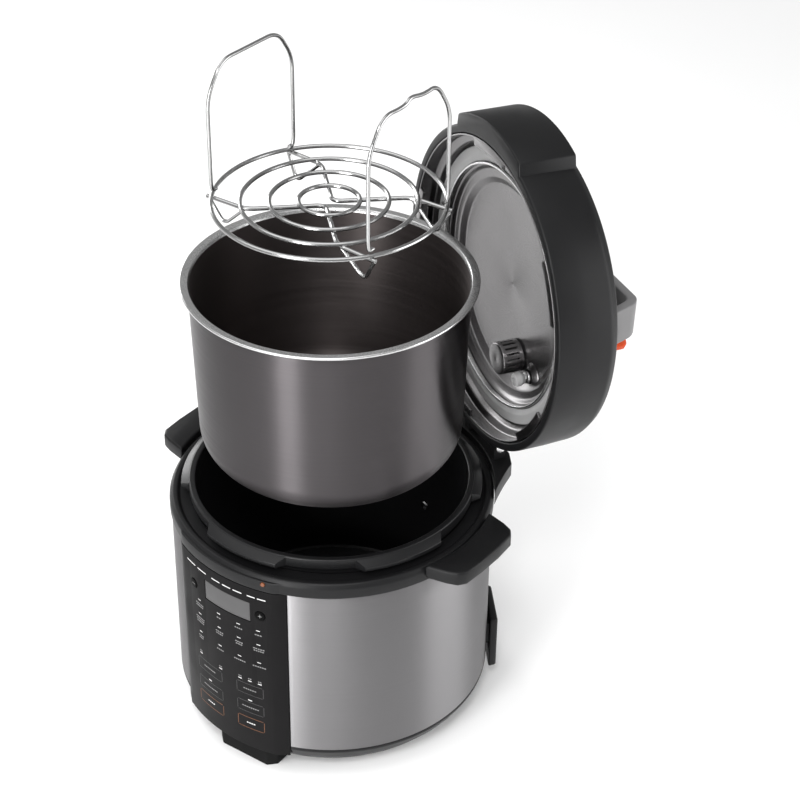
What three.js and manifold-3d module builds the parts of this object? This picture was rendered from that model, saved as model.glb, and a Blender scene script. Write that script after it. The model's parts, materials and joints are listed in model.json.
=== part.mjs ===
// Electric pressure cooker, laid open: a round base with a curved control panel, a lid that
// stands open on a hinge behind the right-hand handle, and above the base the inner pot and a
// wire rack, both lifted out.
//
// Millimetres, +Z up. The base's axis is the Z axis, the underside of its bottom cover is z = 0,
// the control panel faces -Y and the side handles point along -X and +X.

import * as THREE from 'three';
import { mergeVertices } from 'three/addons/utils/BufferGeometryUtils.js';
import Module from 'manifold-3d';

const wasm = await Module();
wasm.setup();

// ---------------------------------------------------------------------------------------------
// Driving dimensions
// ---------------------------------------------------------------------------------------------

const GAP = 0.4;                 // clearance between pieces that touch
const PANEL_MIDDLE = -93;        // direction of the control panel's middle, in degrees from +X
const SEGMENTS = 48;             // facets around a large turned piece

// Base
const BODY_RADIUS = 137.2;       // outside of the steel wrap
const WRAP_THICKNESS = 1.2;
const WRAP_BOTTOM = 25;
const WRAP_TOP = 191.5;
const RING_TOP = 205.5;          // top of the plastic ring that the lid closes over
const RING_RADIUS = 138.4;
const FOOT_HEIGHT = 8;
const PANEL_HALF_ANGLE = 25.8;   // the panel and its side returns, each side of its middle
const PANEL_FACE_HALF_ANGLE = 21.3;
const PANEL_RADIUS = 140;
const PANEL_INNER_RADIUS = 136;
const PANEL_BOTTOM = 14.5;
const PANEL_TOP = WRAP_TOP;
const DISPLAY = { from: -100.4, to: -80.2, bottom: 156, top: 176 };
const MINUS_KEY = { angle: -106.8, height: 162.5 };
const PLUS_KEY = { angle: -76.4, height: 165.5 };
const KEY_RADIUS = 4.6;
const INDICATOR = { angle: -75, height: 199.8, radius: 1.9 };
const HANDLE_REACH = 165;        // from the axis to a side handle's outer edge
const HANDLE_TOP = 208.5;
const HANDLE_BOTTOM = 195.5;
const BOTTOM_SCREWS = [-140, -40, 50, 130];
const SCREW_CIRCLE = 100;
const ROUND_FEET = { right_front: -14, right_rear: 22, left_rear: 158, left_front: 194 };
const FOOT_CIRCLE = 106;
const BLOCK_FEET = { front_foot: -87.5, rear_foot: 92.5 };
const INLET_ANGLE = 42;          // where the mains inlet stands, low at the right rear
const PIN_BACK = 128;            // back wall of the inlet's socket
const COLLECTOR_ANGLE = 118;     // where the condensate cup hangs, at the left rear
const CUP_HALF = 21;
const CUP_BOTTOM = 120;
const CUP_WALL = 1.8;
const RAIL_LIP = 178.4;          // top of the rail's lips, just under the cup's flange

// Outer pot, the fixed well with the bayonet flange
const FLANGE_TOP = 218;
const WELL_RADIUS = 115.9;       // inside of the well
const WELL_WALL = 1.9;
const WELL_FLOOR = 40;
const LUG_RADIUS = 128;
const LUG_PITCH = 65;            // angle from one bayonet lug to the next
const LUG_COUNT = 5;
const FIRST_LUG = -153.5;
const RIVET = { angle: 82, height: 120 };
const PLATE_TOP = 58;            // the heating plate's upper face
const PLATE_UNDERSIDE = PLATE_TOP - 7;
const PLATE_RADIUS = 100;
const ELEMENT_RADIUS = 70;
const ELEMENT_TUBE = 3.2;

// Inner pot, drawn seated and then lifted
const POT_RADIUS = 113.6;
const POT_FOOT_RADIUS = 109.7;   // body radius just above the rounded lower corner
const POT_CORNER = 30;
const POT_WALL = 1.6;
const POT_RIM_RADIUS = 120.2;
const POT_RIM_TOP = 221.2;
const POT_LIFT = 189;

// Rack, drawn around its own ring plane
const RACK_RADIUS = 92;          // to the middle of the outer ring's wire
const RACK_WIRE = 1.8;           // wire radius of the rings
const RACK_RINGS = 4;
const LOOP_WIRE = 1.6;           // wire radius of the lifting loops
const LOOP_HEIGHT = 105;
const LOOP_HALF_WIDTH = 50.5;
const LOOP_PIVOT = 4;            // the loops' pivot, above the ring plane
const EAR_X = 77;                // where the loops hook on, each side of the middle
const EAR_Y = 48;
const RACK_LEG = 27;             // from the ring plane to the middle of a foot's wire
const RACK_PLANE = 479;          // height of the ring plane with the rack lifted

// Lid, drawn closed around its own rim plane with the hinge on +Y
const LID_ANGLE = 61;            // where the hinge stands on the base, from +X
const LID_OPEN = 92;             // how far the lid is tilted open
const LID_RADIUS = 138;
const LID_INNER_RADIUS = 130.6;
const LID_RIM = 206;             // height of the rim plane with the lid closed
const LID_BAND = 52;             // height of the lid's side band
const LID_CROWN = 64;            // height of the middle of the lid above its rim plane
const VISOR_MIDDLE = -93;
const VISOR_HALF_ANGLE = 22;
const VISOR_RADIUS = 149;        // at the visor's middle
const VISOR_FALL = 2.5;          // how much less it stands out at its two ends
const PIVOT_RADIUS = 144.75;     // hinge axis, from the base's axis
const PIVOT_HEIGHT = 220.8;
const PIVOT_ABOVE_RIM = PIVOT_HEIGHT - LID_RIM;
const KNUCKLE = [21, 29];        // from the middle of the hinge to a knuckle's two faces
const KNUCKLE_RADIUS = 5.5;
const PIN_RADIUS = 2.4;
const PIN_BORE = PIN_RADIUS + 0.35;
const HOOKS = [-92, -27, 38, 103, 183];
const VALVE = [22, 57];          // steam release valve and the shield under it
const VALVE_TIP = [70, 30];      // where the valve's lever points
const TIP_HEIGHTS = [84, 101];
const VALVE_HOLE = 6.6;
const FLOAT = [50, 62];          // float valve
const FLOAT_HOLE = 3.7;
const HANDLE_MIDDLE = -4;        // the bridge handle sits a little towards the lid's front
const HANDLE_HALF_WIDTH = 16;
const HANDLE_SCREWS = [-94, 94];
const SCREW_HOLE = 2.4;
const LOCK_TURN = 30;            // turn of the lid between unlocked and locked

// ---------------------------------------------------------------------------------------------
// Shape helpers
// ---------------------------------------------------------------------------------------------

const radians = THREE.MathUtils.degToRad;

function polar(radius, angle) {
  return [radius * Math.cos(radians(angle)), radius * Math.sin(radians(angle))];
}

// Points along an arc about the origin, about one every five degrees.
function arc(radius, from, to) {
  const steps = Math.max(2, Math.round(Math.abs(to - from) / 5));
  return Array.from({ length: steps + 1 }, (_, i) => polar(radius, from + ((to - from) * i) / steps));
}

// A closed geometry as a manifold solid.
function solidOf(geometry) {
  const bare = geometry.clone();
  bare.deleteAttribute('normal');
  bare.deleteAttribute('uv');
  const merged = mergeVertices(bare, 1e-4);
  const corners = Array.from(merged.index.array);
  const triVerts = [];
  for (let i = 0; i < corners.length; i += 3) {
    const [a, b, c] = corners.slice(i, i + 3);
    if (a !== b && b !== c && c !== a) triVerts.push(a, b, c);
  }
  return new wasm.Manifold(
    new wasm.Mesh({
      numProp: 3,
      vertProperties: new Float32Array(merged.attributes.position.array),
      triVerts: new Uint32Array(triVerts),
    }),
  );
}

function geometryOf(solid) {
  const mesh = solid.getMesh();
  const geometry = new THREE.BufferGeometry();
  geometry.setAttribute('position', new THREE.BufferAttribute(new Float32Array(mesh.vertProperties), 3));
  geometry.setIndex(new THREE.BufferAttribute(new Uint32Array(mesh.triVerts), 1));
  geometry.computeVertexNormals();
  return geometry;
}

function join(first, ...others) {
  return geometryOf(others.reduce((sum, other) => sum.add(solidOf(other)), solidOf(first)));
}

function cut(first, ...tools) {
  return geometryOf(tools.reduce((rest, tool) => rest.subtract(solidOf(tool)), solidOf(first)));
}

function overlapOf(first, second) {
  return geometryOf(solidOf(first).intersect(solidOf(second)));
}

// A turned piece: its profile is a closed list of [radius, height] about the Z axis.
function turned(profile, segments = SEGMENTS) {
  const points = profile.map(([r, z]) => new THREE.Vector2(r, z));
  if (THREE.ShapeUtils.area(points) < 0) points.reverse();
  if (points[0].x > 0 || points[points.length - 1].x > 0) points.push(points[0].clone());
  return geometryOf(solidOf(new THREE.LatheGeometry(points, segments).rotateX(Math.PI / 2)));
}

// An outline in plan, extruded from one height to another.
function prism(outline, bottom, top) {
  const shape = new THREE.Shape(outline.map(([x, y]) => new THREE.Vector2(x, y)));
  const geometry = new THREE.ExtrudeGeometry(shape, { depth: top - bottom, bevelEnabled: false });
  return geometry.translate(0, 0, bottom);
}

// A side view in X and Z, extruded along Y.
function sidePrism(outline, near, far) {
  return prism(outline, -far, -near).rotateX(Math.PI / 2);
}

function sector(inner, outer, from, to, bottom, top) {
  return prism([...arc(outer, from, to), ...arc(inner, to, from)], bottom, top);
}

function block([x0, x1], [y0, y1], [z0, z1]) {
  const box = new THREE.BoxGeometry(x1 - x0, y1 - y0, z1 - z0);
  return box.translate((x0 + x1) / 2, (y0 + y1) / 2, (z0 + z1) / 2);
}

function post([x, y], radius, bottom, top, sides = 16) {
  const cylinder = new THREE.CylinderGeometry(radius, radius, top - bottom, sides).rotateX(Math.PI / 2);
  return cylinder.translate(x, y, (bottom + top) / 2);
}

// A rod along X between two ends.
function rod(from, to, radius, y, z, sides = 16) {
  return post([0, 0], radius, from, to, sides).rotateY(Math.PI / 2).translate(0, y, z);
}

// Where a bend at a corner starts, on the way to the next point.
function bendPoint(corner, next, bend) {
  const run = next.clone().sub(corner);
  return corner.clone().add(run.setLength(Math.min(bend, 0.45 * run.length())));
}

// A path of straight runs with rounded corners.
function bentPath(points, bend) {
  const corners = points.map((p) => new THREE.Vector3(...p));
  const path = new THREE.CurvePath();
  let start = corners[0];
  for (let i = 1; i < corners.length - 1; i += 1) {
    const before = bendPoint(corners[i], corners[i - 1], bend);
    const after = bendPoint(corners[i], corners[i + 1], bend);
    path.add(new THREE.LineCurve3(start, before));
    path.add(new THREE.QuadraticBezierCurve3(before, corners[i], after));
    start = after;
  }
  path.add(new THREE.LineCurve3(start, corners[corners.length - 1]));
  return path;
}

// A six-sided wire swept along a path.
function swept(path, radius, steps) {
  const section = new THREE.Shape();
  section.absarc(0, 0, radius, 0, 2 * Math.PI);
  return new THREE.ExtrudeGeometry(section, {
    curveSegments: 3,
    steps,
    bevelEnabled: false,
    extrudePath: path,
  });
}

function wire(points, radius, bend, steps) {
  return geometryOf(solidOf(swept(bentPath(points, bend), radius, steps)));
}

function coil(radius, wireRadius, bottom, top, turns) {
  const steps = turns * 10;
  const points = Array.from({ length: steps + 1 }, (_, i) => {
    const height = bottom + ((top - bottom) * i) / steps;
    return new THREE.Vector3(...polar(radius, i * 36), height);
  });
  return swept(new THREE.CatmullRomCurve3(points), wireRadius, steps);
}

// ---------------------------------------------------------------------------------------------
// Materials
// ---------------------------------------------------------------------------------------------

function finish(color, roughness, metalness) {
  return new THREE.MeshStandardMaterial({ color, roughness, metalness });
}

const MATERIALS = {
  blackPlastic: finish(0x1d1d1f, 0.45, 0),
  panelPlastic: finish(0x2b2b2d, 0.4, 0),
  keyBlack: finish(0x060606, 0.25, 0),
  displayGrey: finish(0x6a6a6a, 0.25, 0),
  orange: finish(0xc84b1e, 0.45, 0),
  brushedSteel: finish(0xc4c4c6, 0.3, 1),
  wellMetal: finish(0x232325, 0.4, 0.6),
  castAluminium: finish(0x4a4a4c, 0.45, 0.9),
  potMetal: finish(0x57555a, 0.28, 0.9),
  wireSteel: finish(0xd0d0d2, 0.18, 1),
  lidMetal: finish(0x98989a, 0.35, 0.9),
  handleGrey: finish(0x7d7d7c, 0.45, 0),
  silicone: finish(0xd6d6d2, 0.6, 0),
  rubber: finish(0x151515, 0.8, 0),
  board: finish(0x1f5a34, 0.5, 0),
  heater: finish(0x77706a, 0.5, 0.8),
  clearPlastic: finish(0x9aa0a4, 0.2, 0),
};

function addPiece(group, name, geometry, material) {
  const mesh = new THREE.Mesh(geometry, MATERIALS[material]);
  mesh.name = name;
  group.add(mesh);
  return mesh;
}

// ---------------------------------------------------------------------------------------------
// Base
// ---------------------------------------------------------------------------------------------

// The panel's outer edge in plan, from left to right: a curved face with a sloping return each side.
function panelOutline() {
  return [
    polar(BODY_RADIUS, PANEL_MIDDLE - PANEL_HALF_ANGLE),
    ...arc(PANEL_RADIUS, PANEL_MIDDLE - PANEL_FACE_HALF_ANGLE, PANEL_MIDDLE + PANEL_FACE_HALF_ANGLE),
    polar(BODY_RADIUS, PANEL_MIDDLE + PANEL_HALF_ANGLE),
  ];
}

// A short round piece set radially into the base's side.
function radialDisc({ angle, height }, radius, inner, outer, sides = 24) {
  return post([0, 0], radius, inner, outer, sides)
    .rotateX(Math.PI / 2)
    .rotateZ(radians(angle + 90))
    .translate(0, 0, height);
}

function bottomCover() {
  const bowl = turned([
    [0, 0],
    [118, 0],
    [122, 1.5],
    [131, 12],
    [BODY_RADIUS, 22],
    [BODY_RADIUS, WRAP_BOTTOM - GAP],
    [135.4, WRAP_BOTTOM - GAP],
    [135.4, 33],
    [133.4, 33],
    [133.4, 24],
    [120, 5],
    [116, 2.5],
    [0, 2.5],
  ]);
  const half = PANEL_HALF_ANGLE + 0.2;
  const screwHoles = BOTTOM_SCREWS.map((angle) => post(polar(SCREW_CIRCLE, angle), SCREW_HOLE, -1, 4, 12));
  const panelPlace = sector(130, 150, PANEL_MIDDLE - half, PANEL_MIDDLE + half, 14, 40);
  return cut(bowl, panelPlace, ...screwHoles);
}

function bottomScrew(angle) {
  const screw = turned([[0, -1.6], [3.6, -1.6], [4.2, -GAP], [2, -GAP], [2, 12], [0, 13]], 10);
  return screw.translate(...polar(SCREW_CIRCLE, angle), 0);
}

function upperHousingRing() {
  const ring = turned([
    [133.4, 183],
    [135.4, 183],
    [135.4, WRAP_TOP + GAP],
    [RING_RADIUS, WRAP_TOP + GAP],
    [RING_RADIUS, RING_TOP - 3],
    [136.4, RING_TOP],
    [131.4, RING_TOP],
    [129.6, 203],
    [118.6, 203],
    [118.6, 199],
    [130.6, 199],
    [133.4, 196],
  ]);
  const browInside = arc(PANEL_INNER_RADIUS, PANEL_MIDDLE + 25, PANEL_MIDDLE - 25);
  const brow = prism([...panelOutline(), ...browInside], WRAP_TOP + GAP, RING_TOP - 3);
  const slotMargin = 14;
  const slot = sector(131.8, 145, LID_ANGLE - slotMargin, LID_ANGLE + LOCK_TURN + slotMargin, 196.9, 202.1);
  const lensHole = radialDisc(INDICATOR, INDICATOR.radius + GAP, 136, 142, 16);
  return cut(join(ring, brow), slot, lensHole);
}

function indicatorLens() {
  return radialDisc(INDICATOR, INDICATOR.radius, 137.7, 141.3, 16);
}

// A flat tab with rounded outer corners, its inner edge following the ring; points along +X.
function handleOutline() {
  const root = 19;
  const tip = [[150, 41], [159, 37.5], [163.5, 31], [HANDLE_REACH, 12]];
  const upper = tip.map(([x, y]) => [x, -y]);
  const lower = [...tip].reverse();
  return [...upper, ...lower, ...arc(RING_RADIUS + 0.6, root, -root)];
}

function sideHandle() {
  return prism(handleOutline(), HANDLE_BOTTOM, HANDLE_TOP);
}

function steelWrap() {
  const from = PANEL_MIDDLE + PANEL_HALF_ANGLE + 0.2;
  const to = PANEL_MIDDLE - PANEL_HALF_ANGLE - 0.2 + 360;
  const wrap = sector(BODY_RADIUS - WRAP_THICKNESS, BODY_RADIUS, from, to, WRAP_BOTTOM, WRAP_TOP);
  const inletHole = block([-24, 24], [125, 150], [WRAP_BOTTOM - 1, 60]).rotateZ(radians(INLET_ANGLE - 90));
  return cut(wrap, inletHole);
}

function controlPanel() {
  const inner = arc(PANEL_INNER_RADIUS, PANEL_MIDDLE + PANEL_HALF_ANGLE, PANEL_MIDDLE - PANEL_HALF_ANGLE);
  const panel = prism([...panelOutline(), ...inner], PANEL_BOTTOM, PANEL_TOP);
  const { from, to, bottom, top } = DISPLAY;
  return cut(
    panel,
    sector(132, 143, from, to, bottom, top),
    radialDisc(MINUS_KEY, KEY_RADIUS + 0.35, 132, 143),
    radialDisc(PLUS_KEY, KEY_RADIUS + 0.35, 132, 143),
  );
}

function displayWindow() {
  const { from, to, bottom, top } = DISPLAY;
  return sector(137, PANEL_RADIUS - 0.3, from + 0.17, to - 0.17, bottom + GAP, top - GAP);
}

function panelKey(key) {
  return radialDisc(key, KEY_RADIUS, 135.2, PANEL_RADIUS + 0.5);
}

function controlBoard() {
  return block([-46, 46], [-124.6, -123], [58, 180]);
}

function displayModule() {
  return block([-23, 23], [-131, -125], [154, 178]);
}

function heatingPlate() {
  return turned([
    [16, PLATE_UNDERSIDE],
    [88, PLATE_UNDERSIDE],
    [88, WELL_FLOOR + 2 + GAP],
    [92, WELL_FLOOR + 2 + GAP],
    [92, PLATE_UNDERSIDE],
    [PLATE_RADIUS - 2, PLATE_UNDERSIDE],
    [PLATE_RADIUS, PLATE_TOP - 5],
    [PLATE_RADIUS, PLATE_TOP - 1.5],
    [PLATE_RADIUS - 2, PLATE_TOP],
    [16, PLATE_TOP],
  ], 40);
}

// The tubular element: most of a ring under the plate.
function heatingElement() {
  const ends = 14;
  const ring = Array.from({ length: 25 }, (_, i) => {
    const angle = PANEL_MIDDLE + ends + (i * (360 - 2 * ends)) / 24;
    return new THREE.Vector3(...polar(ELEMENT_RADIUS, angle), PLATE_UNDERSIDE - GAP - ELEMENT_TUBE);
  });
  return swept(new THREE.CatmullRomCurve3(ring), ELEMENT_TUBE, 36);
}

function sensorCap() {
  const top = PLATE_TOP - 0.2;
  return turned([
    [9, 48],
    [13, 48],
    [15, 53],
    [15, top - 0.8],
    [14, top],
    [0, top],
    [0, 55.5],
    [12, 55.5],
    [9, 51],
  ], 20);
}

// The strip under the well's opening that the sensor's spring stands on.
function sensorBracket() {
  const strip = block([-38, 38], [-9, 9], [33, WELL_FLOOR - GAP]);
  return cut(strip, block([-36.5, 36.5], [-10, 10], [34.6, 50]));
}

function outerPot() {
  const outside = WELL_RADIUS + WELL_WALL;
  const shell = turned([
    [30, WELL_FLOOR],
    [112, WELL_FLOOR],
    [outside, WELL_FLOOR + 6],
    [outside, 205],
    [121.4, 209],
    [121.4, FLANGE_TOP - 0.8],
    [120.6, FLANGE_TOP],
    [WELL_RADIUS + 0.8, FLANGE_TOP],
    [WELL_RADIUS, FLANGE_TOP - 1],
    [WELL_RADIUS, WELL_FLOOR + 7],
    [111, WELL_FLOOR + 2],
    [30, WELL_FLOOR + 2],
  ]);
  const lugRing = turned([
    [119, 209.2],
    [LUG_RADIUS, 209.2],
    [LUG_RADIUS, 213],
    [121.4, FLANGE_TOP - 0.6],
    [119, FLANGE_TOP - 0.6],
  ]);
  const lugs = Array.from({ length: LUG_COUNT }, (_, i) => lugOutline(FIRST_LUG + i * LUG_PITCH));
  const [first, ...others] = lugs.map((outline) => prism(outline, 205, 222));
  const holed = cut(shell, radialDisc(RIVET, 2.3, 105, 125, 12));
  return join(holed, overlapOf(lugRing, join(first, ...others)));
}

// One bayonet lug in plan, with its ends chamfered.
function lugOutline(middle) {
  return [
    polar(118, middle - 19),
    polar(121.6, middle - 19),
    ...arc(LUG_RADIUS + 4, middle - 14.5, middle + 14.5),
    polar(121.6, middle + 19),
    ...arc(118, middle + 19, middle - 19),
  ];
}

// A rivet through the well's wall, its larger head inside.
function wellRivet() {
  const inside = WELL_RADIUS - 2 * GAP;
  const outside = WELL_RADIUS + WELL_WALL + GAP;
  const rivet = turned([
    [0, -outside - 1.4],
    [3, -outside - 1.4],
    [3.6, -outside],
    [1.9, -outside],
    [1.9, -inside],
    [4.2, -inside],
    [3.6, -inside + 1.2],
    [0, -inside + 1.8],
  ], 10);
  return rivet.rotateY(-Math.PI / 2).rotateZ(radians(RIVET.angle)).translate(0, 0, RIVET.height);
}

// The mains inlet: a housing with a socket recess, in its own frame facing +Y.
function powerInlet() {
  const body = join(
    prism([[-26, 137.8], [26, 137.8], [24, 145], [-24, 145]], 10, 64),
    block([-21, 21], [122, 138.5], [35, 57]),
  );
  return cut(body, block([-14, 14], [PIN_BACK, 150], [38, 54]));
}

function inletPin(x, z) {
  return block([x - 1.2, x + 1.2], [PIN_BACK + GAP, 141], [z - 2.2, z + 2.2]);
}

// The cup that catches condensate, open at the top, in its own frame facing +Y.
function condensationCollector() {
  const half = CUP_HALF;
  const outline = [[-half, 138.8], [half, 138.8], [half, 156], [14, 163], [-14, 163], [-half, 156]];
  const inside = half - CUP_WALL;
  const hollow = [
    [-inside, 138.8 + CUP_WALL],
    [inside, 138.8 + CUP_WALL],
    [inside, 155.2],
    [13.2, 163 - CUP_WALL],
    [-13.2, 163 - CUP_WALL],
    [-inside, 155.2],
  ];
  const cup = prism(outline, CUP_BOTTOM, RAIL_LIP + 2 * GAP);
  const flange = block([-half - 2.8, half + 2.8], [139, 152], [RAIL_LIP + GAP, RAIL_LIP + GAP + 2]);
  return cut(join(cup, flange), prism(hollow, CUP_BOTTOM + CUP_WALL, RAIL_LIP + 10));
}

// The rail under the ring: a channel with lips that the cup's flange slides along.
function collectorBracket() {
  const half = CUP_HALF + 6;
  return cut(
    block([-half, half], [138.2, 151], [RAIL_LIP - 2, WRAP_TOP - 1]),
    block([-half + 2.6, half - 2.6], [137, 153], [RAIL_LIP, WRAP_TOP - 4]),
    block([-CUP_HALF - 0.6, CUP_HALF + 0.6], [137, 153], [RAIL_LIP - 4, RAIL_LIP + 1]),
  );
}

// A block under the rim that follows the cover's bevel up the side, facing +Y.
function blockFoot() {
  const outline = [[-31, 108], [31, 108], [31, 125], [24, 131.8], [-24, 131.8], [-31, 125]];
  const cover = turned([[0, -GAP], [118.2, -GAP], [122.4, 1.2], [131.5, 11.7], [135, 17], [0, 17]]);
  return cut(prism(outline, -FOOT_HEIGHT, 13), cover);
}

function roundFoot(angle) {
  const bottom = -FOOT_HEIGHT;
  const foot = turned([[0, bottom], [8, bottom], [9, bottom + 1], [9, -GAP], [0, -GAP]], 12);
  return foot.translate(...polar(FOOT_CIRCLE, angle), 0);
}

function buildBase() {
  const base = new THREE.Group();
  addPiece(base, 'bottom_cover', bottomCover(), 'blackPlastic');
  for (const [name, angle] of Object.entries(BLOCK_FEET)) {
    addPiece(base, name, blockFoot().rotateZ(radians(angle - 90)), 'rubber');
  }
  for (const [place, angle] of Object.entries(ROUND_FEET)) {
    addPiece(base, `foot_${place}`, roundFoot(angle), 'rubber');
  }
  BOTTOM_SCREWS.forEach((angle, i) => {
    addPiece(base, `bottom_screw_${i + 1}`, bottomScrew(angle), 'wireSteel');
  });
  addPiece(base, 'steel_wrap', steelWrap(), 'brushedSteel');
  addPiece(base, 'upper_housing_ring', upperHousingRing(), 'blackPlastic');
  addPiece(base, 'side_handle_right', sideHandle(), 'blackPlastic');
  addPiece(base, 'side_handle_left', sideHandle().rotateZ(Math.PI), 'blackPlastic');
  addPiece(base, 'outer_pot', outerPot(), 'wellMetal');
  addPiece(base, 'well_rivet', wellRivet(), 'wireSteel');
  addPiece(base, 'heating_plate', heatingPlate(), 'castAluminium');
  addPiece(base, 'heating_element', heatingElement(), 'heater');
  addPiece(base, 'sensor_cap', sensorCap(), 'castAluminium');
  addPiece(base, 'sensor_spring', coil(11, 0.7, 36, 46.6, 3), 'wireSteel');
  addPiece(base, 'sensor_bracket', sensorBracket(), 'wireSteel');
  addPiece(base, 'pressure_switch', block([44, 66], [-8, 8], [26, 38]), 'keyBlack');
  addPiece(base, 'thermal_fuse', rod(-68, -44, 3.5, 0, 34, 10), 'silicone');
  addPiece(base, 'power_board', block([-60, 60], [20, 95], [12, 13.6]), 'board');
  addPiece(base, 'control_panel', controlPanel(), 'panelPlastic');
  addPiece(base, 'display_window', displayWindow(), 'displayGrey');
  addPiece(base, 'minus_key', panelKey(MINUS_KEY), 'keyBlack');
  addPiece(base, 'plus_key', panelKey(PLUS_KEY), 'keyBlack');
  addPiece(base, 'indicator_lens', indicatorLens(), 'orange');
  addPiece(base, 'control_board', controlBoard(), 'board');
  addPiece(base, 'display_module', displayModule(), 'displayGrey');

  const inlet = new THREE.Group();
  inlet.rotation.z = radians(INLET_ANGLE - 90);
  addPiece(inlet, 'power_inlet', powerInlet(), 'blackPlastic');
  addPiece(inlet, 'inlet_pin_line', inletPin(-7, 43), 'wireSteel');
  addPiece(inlet, 'inlet_pin_neutral', inletPin(7, 43), 'wireSteel');
  addPiece(inlet, 'inlet_pin_earth', inletPin(0, 49), 'wireSteel');
  base.add(inlet);

  const collector = new THREE.Group();
  collector.rotation.z = radians(COLLECTOR_ANGLE - 90);
  addPiece(collector, 'condensation_collector', condensationCollector(), 'clearPlastic');
  addPiece(collector, 'collector_bracket', collectorBracket(), 'blackPlastic');
  base.add(collector);
  return base;
}

// ---------------------------------------------------------------------------------------------
// Lid
// ---------------------------------------------------------------------------------------------

// The carrier rides round the ring as the lid locks and holds the hinge; hinge on +Y.
function lidCarrier() {
  const half = [[139, 31], [142, 26], [148, 20], [156.5, 14.5], [158.5, 9]];
  const right = half.map(([radius, angle]) => polar(radius, 90 - angle));
  const left = half.map(([radius, angle]) => polar(radius, 90 + angle)).reverse();
  const inner = arc(139, 121, 59).slice(1, -1);
  const shoe = prism([...right, ...left, ...inner], HANDLE_BOTTOM, HANDLE_TOP);
  const tongue = sector(133, 140, 78.5, 101.5, 197.5, 201.5);
  const knuckles = [KNUCKLE, [-KNUCKLE[1], -KNUCKLE[0]]].flatMap(([from, to]) => [
    block([from, to], [PIVOT_RADIUS - 5.2, PIVOT_RADIUS + 5.2], [HANDLE_TOP - 3, PIVOT_HEIGHT]),
    rod(from, to, KNUCKLE_RADIUS, PIVOT_RADIUS, PIVOT_HEIGHT),
  ]);
  return cut(join(shoe, tongue, ...knuckles), rod(-40, 40, PIN_BORE, PIVOT_RADIUS, PIVOT_HEIGHT));
}

function hingePin() {
  const end = KNUCKLE[1] + GAP;
  const shaft = rod(-end - 1, end + 1, PIN_RADIUS, PIVOT_RADIUS, PIVOT_HEIGHT);
  const heads = [end, -end - 2].map((x) => rod(x, x + 2, 4.4, PIVOT_RADIUS, PIVOT_HEIGHT));
  return join(shaft, ...heads);
}

// The raised front of the lid's side in plan: fullest in its middle, with sloping ends.
function visorOutline() {
  const steps = 8;
  const crest = Array.from({ length: steps + 1 }, (_, i) => {
    const across = (2 * i) / steps - 1;
    return polar(VISOR_RADIUS - VISOR_FALL * across ** 2, VISOR_MIDDLE + across * VISOR_HALF_ANGLE);
  });
  const end = VISOR_HALF_ANGLE + 2.5;
  const near = polar(LID_RADIUS - 1, VISOR_MIDDLE - end);
  const far = polar(LID_RADIUS - 1, VISOR_MIDDLE + end);
  return [near, ...crest, far, ...arc(133, VISOR_MIDDLE + end, VISOR_MIDDLE - end)];
}

function lidShell() {
  const dome = turned([
    [0, LID_CROWN - 2.5],
    [40, LID_CROWN - 3.5],
    [98, LID_BAND + 5],
    [127, LID_BAND],
    [131.4, LID_BAND - 6],
    [LID_INNER_RADIUS, 0],
    [LID_RADIUS, 0],
    [LID_RADIUS, 24],
    [LID_RADIUS - 1, LID_BAND - 4],
    [LID_RADIUS - 5, LID_BAND + 3],
    [100, LID_CROWN - 4],
    [40, LID_CROWN - 1],
    [0, LID_CROWN],
  ]);
  const visor = prism(visorOutline(), 0, LID_BAND - 1);
  const barrelHalf = KNUCKLE[0] - 0.5;
  const barrel = rod(-barrelHalf, barrelHalf, KNUCKLE_RADIUS, PIVOT_RADIUS, PIVOT_ABOVE_RIM);
  const armHeights = [PIVOT_ABOVE_RIM - 5, PIVOT_ABOVE_RIM + 5];
  const arm = block([-barrelHalf, barrelHalf], [134, PIVOT_RADIUS], armHeights);
  const pinHole = rod(-40, 40, PIN_BORE, PIVOT_RADIUS, PIVOT_ABOVE_RIM);
  const holes = [
    post(VALVE, VALVE_HOLE, 40, 80),
    post(FLOAT, FLOAT_HOLE, 40, 80),
    ...HANDLE_SCREWS.map((x) => post([x, HANDLE_MIDDLE], SCREW_HOLE, 40, 80, 12)),
  ];
  return cut(join(dome, visor, barrel, arm), pinHole, ...holes);
}

// The pressed metal lid: stepped towards the middle, with hooks that turn under the lugs.
function pressureLid() {
  const plate = turned([
    [0, 30],
    [85, 28],
    [91, 23.5],
    [98, 23.5],
    [101, 19.5],
    [119, 19.5],
    [122, 13],
    [128.6, 11],
    [128.6, 0],
    [130, 0],
    [130, 13],
    [123.4, 15.4],
    [120, 21.5],
    [102.4, 21.5],
    [99.2, 25.7],
    [92, 25.7],
    [86, 30.2],
    [0, 32.2],
  ], 40);
  const hooks = HOOKS.map((middle) => sector(122.4, 129.4, middle - 12, middle + 12, 0, 2.7));
  return cut(join(plate, ...hooks), post(VALVE, VALVE_HOLE, 15, 40), post(FLOAT, FLOAT_HOLE, 15, 40));
}

function sealingRing() {
  return turned([[105, 17], [110, 15.4], [117.6, 15.6], [118.2, 17], [118.2, 19.1], [105, 19.1]], 40);
}

function sealRack() {
  return turned([[102.6, 15], [104.4, 15], [104.4, 19.1], [102.6, 19.1]], 40);
}

// The ribbed cap that keeps food out of the steam pipe.
function antiBlockShield() {
  const cup = turned([[0, 8], [13, 8], [14, 9], [14, 27.6], [12.4, 27.6], [12.4, 10], [0, 10]], 20);
  const crossings = 9;
  const slots = Array.from({ length: crossings }, (_, i) =>
    block([-20, 20], [-0.9, 0.9], [12, 24]).rotateZ((i * Math.PI) / crossings));
  return cut(cup, ...slots).translate(...VALVE, 0);
}

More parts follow.
